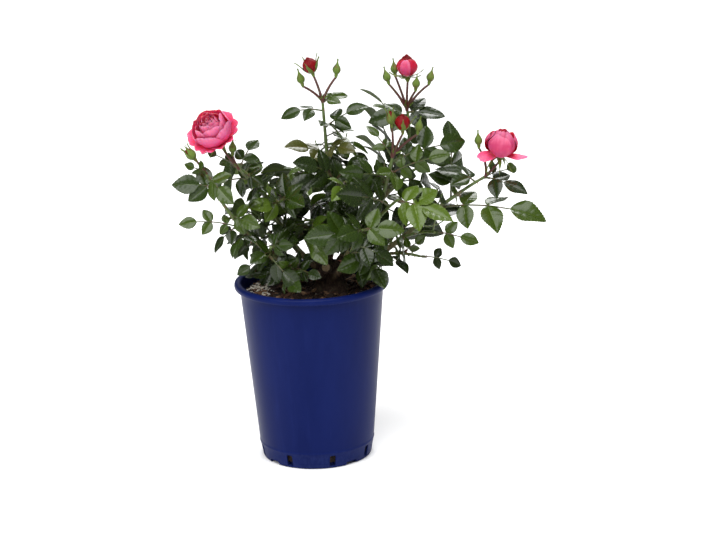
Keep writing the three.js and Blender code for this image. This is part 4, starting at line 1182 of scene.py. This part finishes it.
def leaflet_grid(length, draw):
    """Points of a leaflet that lies along X with its upper face up, and their flat coordinates."""
    row = np.arange(LEAFLET_ROWS + 1)[:, None]
    t = row / LEAFLET_ROWS
    s = np.abs(ACROSS)[None, :]
    edge = s == 1
    sweep = 0.56 * t * (1 - t)
    tooth = (row % 2) * edge * (t > 0.08) * (t < 0.98)
    ahead = t + sweep * s + tooth * 0.55 / LEAFLET_ROWS
    outline = HALF_BREADTH * np.sin(np.pi * np.clip(t + sweep, 0, 1) ** 0.78) ** 0.85
    outline = np.maximum(outline, 0.014)
    beside = outline * s * (1 + 0.055 * tooth - 0.02 * edge)
    fold = draw.uniform(0.16, 0.46)
    rise = fold * beside * (1 - draw.uniform(0.4, 0.75) * beside / HALF_BREADTH)
    rise = rise + draw.uniform(0.0, 0.05) * np.sin(np.pi * ahead) - draw.uniform(0.03, 0.15) * ahead**2
    rise = rise + 0.016 * np.sin(np.pi * (row % 4) / 4) * 4 * s * (1 - s)
    rise = rise - 0.009 * (s == 0) * np.sin(np.pi * t) ** 0.5
    signed = beside * np.sign(ACROSS)
    wave = np.sin(2 * np.pi * (1.6 * ahead + draw.random()) + np.sign(ACROSS) * 1.3)
    rise = rise + draw.uniform(0.004, 0.02) * wave * s**2 + signed * draw.uniform(-0.3, 0.3) * ahead
    bent = signed + draw.uniform(-0.06, 0.06) * ahead**2
    grid = length * np.stack([ahead, bent, rise], -1)
    flat = np.stack([0.5 + signed * 0.47 / HALF_BREADTH / 1.06, 0.02 + 0.96 * ahead], -1)
    return grid, flat


def tiled(flat, column, row, columns, rows):
    """Move flat coordinates from the unit square to a tile in a grid of tiles."""
    return (flat + (column, row)) / (columns, rows)


def tile_place(tree, columns, rows, column=0, row=0):
    """The mesh's flat coordinates, moved back to the unit square of a tile."""
    flat = add_node(tree, "UVMap", [("uv_map", "OFBake")]).outputs["UV"]
    back = add_node(tree, "Mapping", Vector=flat, Scale=(columns, rows, 1), Location=(-column, -row, 0))
    return back.outputs["Vector"]


def flat_noise(tree, place, scale, detail):
    return add_node(tree, "TexNoise", Vector=place, Scale=scale, Detail=detail).outputs["Fac"]


def leaf_finish(name, column, row, blade_colour, vein_colour, roughness):
    """A leaf's skin, drawn on its flat coordinates: midrib, side veins, mottling and a fine net."""
    material, tree = add_material(name, blade_colour, roughness, Specular_IOR_Level=0.36)
    place = tile_place(tree, len(TONES), 2, column, row)
    across, ahead, _ = add_node(tree, "SeparateXYZ", Vector=place).outputs
    beside = add_math(tree, "ABSOLUTE", add_math(tree, "SUBTRACT", across, 0.5))
    swept = add_math(tree, "SUBTRACT", ahead, add_math(tree, "MULTIPLY", beside, 0.34))
    phase = add_math(tree, "FRACT", add_math(tree, "MULTIPLY", swept, VEINS / 0.96))
    off_vein = add_math(tree, "ABSOLUTE", add_math(tree, "SUBTRACT", phase, 0.5))
    veins = add_ramp(tree, off_vein, (0.38, 0.0), (0.49, 0.55))
    midrib = add_ramp(tree, beside, (0.012, 1.0), (0.032, 0.0))
    net = flat_noise(tree, place, 26, 4)
    mottle = add_ramp(tree, net, (0.34, 0.0), (0.7, 0.28))
    pale = add_math(tree, "MAXIMUM", add_math(tree, "MAXIMUM", veins, midrib), mottle)
    colour = add_mix(tree, pale, blade_colour, vein_colour)
    gloss = add_ramp(tree, net, (0.3, roughness - 0.07), (0.7, roughness + 0.1))
    finish_nodes(tree, colour, gloss, add_math(tree, "ADD", net, veins), 0.12, 0.5)
    return material


def add_leaflet(gather, leaflet, tone, draw):
    root, forward, up, length = leaflet
    grid, flat = leaflet_grid(length, draw)
    points, upper, lower, corners = blade(grid, np.array([0, 0, 1.0]), 0.45)
    flat = flat.reshape(-1, 2)[corners]
    flats = [tiled(flat[:, ::-1], tone, 1, len(TONES), 2), tiled(flat, tone, 0, len(TONES), 2)]
    placed = root + points @ np.stack([forward, np.cross(up, forward), up])
    gather.add(placed, upper, lower, finish=2 * tone, flats=flats)


leaf_materials = []
for column, (name, upper, vein, lower, *_) in enumerate(TONES):
    leaf_materials.append(leaf_finish(f"{name}_leaf_upper", column, 1, upper, vein, 0.25))
    leaf_materials.append(leaf_finish(f"{name}_leaf_lower", column, 0, lower, vein, 0.62))
*_, young_shares, shaded_old_shares = zip(*TONES)
leaf_draw, tone_draw = np.random.default_rng(LEAF_SEED), np.random.default_rng(TONE_SEED)
for first in range(0, len(foliage), LEAVES_IN_PIECE):
    leaf_gather = Gather()
    for i, leaf in enumerate(foliage[first : first + LEAVES_IN_PIECE], first):
        # Inner leaves and those low in the middle draw darker tones: older leaves' deeper green, and
        # painted shade of the bush's middle.
        is_old_or_shaded = i >= len(foliage) - len(inner_leaves) or is_in_crown(leaf_marks(leaf, 0), SHADED_OLD_CROWN)
        tone = int(tone_draw.choice(len(TONES), p=shaded_old_shares if is_old_or_shaded else young_shares))
        for leaflet in leaf["leaflets"]:
            add_leaflet(leaf_gather, leaflet, tone, leaf_draw)
    name = f"leaves_{first // LEAVES_IN_PIECE + 1:02d}"
    add_piece(leaf_gather.mesh(name, crease=70, is_flat=True), leaf_materials, SPRAY_NAMES)


# ---------------------------------------------------------------- buds
# Each bud stands on its own red brown stalk: a green hip, five downy sepals with long tips, and inside
# them the rolled petals. The sepals spread as the bud opens, and turn down under a bloom.
HIPS = {  # radius and height, from the stalk up
    "bud": [(0, -1), (1.3, -1), (1.8, 0.6), (2.3, 2.4), (2.4, 4), (1.8, 5.4), (0, 5.8)],
    "bloom": [(0, -1), (1.5, -1), (2.4, 0.8), (3.6, 3), (4.1, 5), (3.6, 6.6), (0, 7.2)],
}
SEPAL_WIDTH = ((0, 0.15, 0.3, 0.5, 0.68, 0.84, 1), (0.62, 0.92, 1, 0.72, 0.3, 0.14, 0.05))
BRACT_LENGTHS = (7, 12)  # two small leaves on each stalk, from the least to the most
PETAL_ROLL = 0.05  # of its edges, back from the middle
HEAD_SEED = 29


class Whorl(NamedTuple):
    """A ring of petals or sepals round Z.

    The lean is the angle from Z of a petal's middle line, evenly along it. The base is where that line
    starts: how far out and how high. Turn is the first petal's way, and is drawn where it isn't given.
    Spread is how far chance turns and bends the petals, in degrees.
    """

    count: int
    length: float
    width: float
    lean: tuple
    base: tuple
    finish: int = 0
    turn: float = None
    cup: float = 1.0
    ruffle: float = 0.012
    spread: float = 2


BRACT = Whorl(2, BRACT_LENGTHS[0], 2.6, (14, 24, 34, 44), (1.1, 0))
HEAD_FORMS = {  # hip, sepals, and whorls of petals from the outside in
    "green_bud": ("bud", Whorl(5, 21.5, 7.4, (42, 30, -8, -36, -30, -8, 16), (2, 4)), []),
    "small_red_bud": ("bud", Whorl(5, 23, 9.4, (50, 34, 0, -18, -6, 14, 30), (2.4, 4.0)), [
        Whorl(4, 16, 11, (46, 26, -4, -28, -46), (1.6, 5), 6),
        Whorl(3, 17, 10, (42, 22, -4, -24, -40), (1.2, 5), 6),
    ]),
    "red_bud": ("bud", Whorl(5, 26, 7.6, (60, 46, 30, 26, 30, 38, 52), (2.4, 4.2)), [
        Whorl(4, 24, 17, (64, 40, 2, -34, -66), (2.4, 5), 6),
        Whorl(4, 23, 13, (50, 28, -4, -30, -52), (1.6, 5), 6),
        Whorl(2, 22, 9, (30, 14, -6, -20, -30), (0.8, 5), 6),
    ]),
    "opening_bud": ("bloom", Whorl(5, 22, 6.6, (75, 84, 86, 76, 66, 58, 54), (3.4, 5.6)), [
        Whorl(2, 32, 15, (72, 48, 12, -30, -66), (3, 6), 2, turn=256),
        Whorl(4, 32, 26, (68, 46, 10, -32, -72), (2.6, 6), 4, turn=300),
        Whorl(4, 32, 19, (52, 32, 2, -26, -54), (1.8, 6), 6),
        Whorl(3, 31, 12, (30, 16, -6, -18, -30), (1, 6), 6),
    ]),
    "half_open_bloom": ("bloom", Whorl(5, 23, 4.4, (90, 122, 142, 150, 152, 146, 140), (3.6, 5)), [
        Whorl(1, 29, 28, (64, 92, 102, 98, 84), (3, 6.4), 0, turn=204, cup=1.4, ruffle=0.03),
        Whorl(1, 35, 26, (56, 84, 86, 72, 54), (3, 6.4), 0, turn=334, cup=1.5, ruffle=0.03),
        Whorl(3, 44, 33, (80, 64, 16, -26, -44), (3, 7), 2, turn=262, ruffle=0.03),
        Whorl(4, 44, 32, (70, 54, 10, -32, -60), (2.6, 7), 2, turn=230, ruffle=0.02),
        Whorl(5, 42, 26, (50, 38, 4, -28, -54), (2, 7), 2, ruffle=0.02),
        Whorl(5, 39, 18, (26, 16, 0, -16, -34), (1.4, 7), 4),
    ]),
    "full_bloom": ("bloom", Whorl(5, 22, 6.4, (90, 118, 130, 134, 130, 124, 118), (3.6, 5)), [
        Whorl(6, 36, 34, (60, 74, 70, 54, 38), (3.2, 6), 0, ruffle=0.05, spread=8),
        Whorl(5, 47, 44, (82, 68, 30, 0, -22), (3, 6.6), 0, ruffle=0.02, spread=6),
        Whorl(5, 43, 38, (66, 50, 20, -4, -26), (2.8, 7), 0, ruffle=0.03, spread=7),
        Whorl(5, 40, 32, (48, 36, 12, -8, -26), (2.4, 7), 0, ruffle=0.04, spread=8),
        Whorl(5, 38, 25, (32, 24, 6, -10, -24), (2, 7), 0, ruffle=0.05, spread=8),
        Whorl(4, 36, 19, (20, 12, 0, -12, -24), (1.2, 7), 0, ruffle=0.06, spread=9),
    ]),
}  # fmt: skip


def petal_grid(form, draw, azimuth, rows, columns, widths=None):
    """A petal or sepal that wraps round Z: its points, normals of its inner face, and flat places."""
    steps = 80
    fine = np.linspace(0, 1, steps + 1)
    lean = np.interp(fine, np.linspace(0, 1, len(form.lean)), form.lean)
    lean = np.radians(lean + draw.normal(0, form.spread / 2) * fine)
    length = form.length * (1 + 0.02 * draw.normal() * form.spread / 4)
    step = length / steps
    between = (lean[1:] + lean[:-1]) / 2
    out = form.base[0] + step * np.concatenate([[0], np.cumsum(np.sin(between))])
    rise = form.base[1] + step * np.concatenate([[0], np.cumsum(np.cos(between))])
    t = np.linspace(0, 1, rows)[:, None]
    s = np.linspace(-1, 1, columns)[None, :]
    if widths:
        along = t + 0 * s
        half = form.width / 2 * np.interp(t, *widths)
    else:
        notch = 0.035 * np.exp(-((s / 0.16) ** 2)) * draw.uniform(0, 1)
        along = t * (1 - 0.2 * np.abs(s) ** 2.6 - notch)
        half = form.width / 2 * (0.2 + 0.8 * np.sin(np.pi / 2 * np.clip(t / 0.75, 0, 1)))
        half = half * (1 - 0.1 * np.clip((t - 0.72) / 0.28, 0, 1) ** 2)
    r, z, angle = (np.interp(along, fine, values) for values in (out, rise, lean))
    wrap = np.maximum(r * form.cup, half / 1.35)
    turn = s * half / wrap
    ruffle = form.ruffle * length * along**2
    wave = np.sin(2 * np.pi * (draw.uniform(0.7, 1.3) * s + draw.random()))
    wave = wave + 0.5 * np.sin(2 * np.pi * (draw.uniform(1.5, 2.6) * s + draw.random()))
    inward = wrap * (1 - np.cos(turn)) + ruffle * wave - 0.5 * s * np.clip(along * 3, 0, 1)
    inward = inward - PETAL_ROLL * half * np.abs(s) ** 4 * along**2
    r = r - np.cos(angle) * inward
    z = z + np.sin(angle) * inward
    beside = wrap * np.sin(turn)
    azimuth = math.radians(azimuth)
    radial = np.array([math.cos(azimuth), math.sin(azimuth), 0])
    tangent = np.array([-math.sin(azimuth), math.cos(azimuth), 0])
    grid = r[..., None] * radial + beside[..., None] * tangent + z[..., None] * np.array([0, 0, 1.0])
    down, across = np.gradient(grid, axis=0), np.gradient(grid, axis=1)
    normals = np.cross(across, down)
    normals = -normals / np.maximum(np.linalg.norm(normals, axis=-1, keepdims=True), 1e-9)
    flat = np.stack([0.5 + 0.46 * s * half / (half.max() or 1), 0.04 + 0.92 * along], -1)
    return grid, normals, flat


def placed(base, facing):
    """A move that turns +Z to a way and brings the origin to a place."""
    turn = np.array(Vector((0, 0, 1)).rotation_difference(Vector(facing).normalized()).to_matrix())
    return lambda points: points @ turn.T + base


def add_green_blade(gather, form, draw, azimuth, rows, columns, thickness, place):
    grid, normals, _ = petal_grid(form, draw, azimuth, rows, columns, SEPAL_WIDTH)
    points, inner, outer, _ = blade(grid, normals, thickness)
    gather.add(place(points), inner, outer)


def add_sepals(gather, form, draw, place):
    apart = 360 / form.count
    first = draw.uniform(0, apart)
    for i in range(form.count):
        add_green_blade(gather, form, draw, first + apart * i, 15, 5, 0.7, place)


def add_bracts(gather, stalk, draw):
    """Two small narrow leaves low on a head's stalk."""
    foot, way = along_line(stalk, 0.12)
    a, b = square_to(way)
    for side in (1, -1):
        away = a * side * draw.uniform(0.4, 1) + b * draw.uniform(-0.6, 0.6)
        form = BRACT._replace(length=draw.uniform(*BRACT_LENGTHS))
        azimuth = math.degrees(math.atan2(away[1], away[0]))
        add_green_blade(gather, form, draw, azimuth, 8, 3, 0.4, placed(foot, way))


def downy_green(name, green, flush):
    """Sepals, hips and bracts: downy green, flushed red brown in patches."""
    material, tree = add_material(name, green, 0.62, Specular_IOR_Level=0.25, Sheen_Weight=0.1)
    patches = add_noise(tree, 6, 3, 0.6)
    down = add_noise(tree, 0.6, 2, 0.6)
    colour = add_mix(tree, add_ramp(tree, patches, (0.5, 0.0), (0.74, 0.8)), green, flush)
    finish_nodes(tree, colour, add_ramp(tree, down, (0.3, 0.52), (0.7, 0.7)), down, 0.08)
    return material


head_draw = np.random.default_rng(HEAD_SEED)
calyx_gather, pedicel_gather = Gather(), Gather()
heads = [(spray, *head) for spray in SPRAYS for head in spray.heads]
for spray, kind, base, facing in heads:
    hip, sepals, _ = HEAD_FORMS[kind]
    place = placed(base, facing)
    stalk = spray.stalk(base, FINE_STEPS["stalk"], sunk=2)
    line = np.array([*stalk[:-1], *place(np.array([[0, 0, -0.4], [0, 0, 0.6]]))])
    pedicel_gather.add(*tube(line, np.linspace(1.9, 1.4, len(line)), 10, lambda p: 0.06 * lumps(p, 3, 2)))
    points, *faces = turned(HIPS[hip], 20)
    calyx_gather.add(place(points), *faces)
    add_sepals(calyx_gather, sepals, head_draw, place)
    add_bracts(calyx_gather, stalk, head_draw)
pedicel_skin = green_stem("flower_stalk_skin", (0.07, 0.04, 0.016), (0.075, 0.011, 0.009), 0.18)
calyx_skin = downy_green("downy_sepal", (0.105, 0.165, 0.022), (0.14, 0.06, 0.02))
add_piece(pedicel_gather.mesh("flower_stalks", crease=60), [pedicel_skin], SPRAY_NAMES)
add_piece(calyx_gather.mesh("sepals_and_hips", crease=55), [calyx_skin], SPRAY_NAMES)


# ---------------------------------------------------------------- blooms
# Petals in whorls that wrap over one another: two open blooms of deep pink, one cerise bud about to
# open, and crimson buds. Each petal is silky, deep inside and paler outside, with a cream claw.
PETAL_CELLS = 15  # each face of a petal has its own cell in a square of these
PETAL_FINISHES = [  # name, claw, middle, rim
    ("pink_petal_inner", (0.8, 0.5, 0.38), (0.74, 0.08, 0.205), (0.79, 0.18, 0.335)),
    ("pink_petal_outer", (0.82, 0.58, 0.46), (0.74, 0.095, 0.25), (0.79, 0.22, 0.38)),
    ("rose_petal_inner", (0.8, 0.5, 0.3), (0.66, 0.03, 0.11), (0.76, 0.08, 0.2)),
    ("rose_petal_outer", (0.86, 0.72, 0.52), (0.55, 0.055, 0.15), (0.76, 0.18, 0.31)),
    ("cerise_petal_inner", (0.6, 0.26, 0.14), (0.42, 0.006, 0.025), (0.5, 0.015, 0.06)),
    ("cerise_petal_outer", (0.65, 0.26, 0.18), (0.45, 0.01, 0.04), (0.4, 0.008, 0.03)),
    ("crimson_petal_inner", (0.3, 0.04, 0.02), (0.17, 0.002, 0.004), (0.13, 0.002, 0.004)),
    ("crimson_petal_outer", (0.28, 0.03, 0.02), (0.2, 0.003, 0.006), (0.13, 0.002, 0.004)),
]


def petal_finish(name, claw, middle, rim):
    """Silky petal skin: a cream claw, a deep middle and a lighter rim, with fine veins along it."""
    soft = {"Specular_IOR_Level": 0.15, "Subsurface_Weight": 0.5, "Subsurface_Scale": 0.003}
    material, tree = add_material(name, middle, 0.55, **soft)
    cells = tile_place(tree, PETAL_CELLS, PETAL_CELLS)
    along = add_math(tree, "FRACT", add_node(tree, "SeparateXYZ", Vector=cells).outputs["Y"])
    colour = add_ramp(tree, along, (0.08, claw), (0.3, middle), (0.72, middle), (0.97, rim))
    stretched = add_node(tree, "Mapping", Vector=cells, Scale=(1, 0.16, 1)).outputs["Vector"]
    veins, clouds = flat_noise(tree, stretched, 16, 4), flat_noise(tree, cells, 3.5, 2)
    deep = (0.86 * middle[0], 0.5 * middle[1], 0.6 * middle[2])
    colour = add_mix(tree, add_ramp(tree, veins, (0.45, 0.0), (0.75, 0.4)), colour, deep)
    colour = add_mix(tree, add_ramp(tree, clouds, (0.5, 0.0), (0.75, 0.35)), colour, rim)
    finish_nodes(tree, colour, add_ramp(tree, clouds, (0.3, 0.44), (0.7, 0.58)), veins, 0.15, 0.6)
    return material


def cell(flat, index):
    """Move flat coordinates from the unit square to a cell of their own."""
    row, column = divmod(index, PETAL_CELLS)
    return tiled(flat, column, row, PETAL_CELLS, PETAL_CELLS)


petal_gather = Gather()
petal_count = 0
for _, kind, base, facing in heads:
    place = placed(base, facing)
    for whorl in HEAD_FORMS[kind][-1]:
        drawn = head_draw.uniform(0, 360)
        first = drawn if whorl.turn is None else whorl.turn
        for i in range(whorl.count):
            azimuth = first + 360 / whorl.count * i + head_draw.normal(0, whorl.spread)
            grid, normals, flat = petal_grid(whorl, head_draw, azimuth, 16, 13)
            points, inner, outer, corners = blade(grid, normals, 0.5)
            flat = flat.reshape(-1, 2)[corners]
            flats = [cell(flat[:, ::-1], petal_count), cell(flat, petal_count + 1)]
            petal_gather.add(place(points), inner, outer, finish=whorl.finish, flats=flats)
            petal_count += 2
petal_materials = [petal_finish(*finish) for finish in PETAL_FINISHES]
add_piece(petal_gather.mesh("petals", crease=70, is_flat=True), petal_materials, SPRAY_NAMES)


# ---------------------------------------------------------------- size
boxes = {"cad": cad_box, "visual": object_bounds()}
{name: [list(corner) for corner in box] for name, box in boxes.items()}
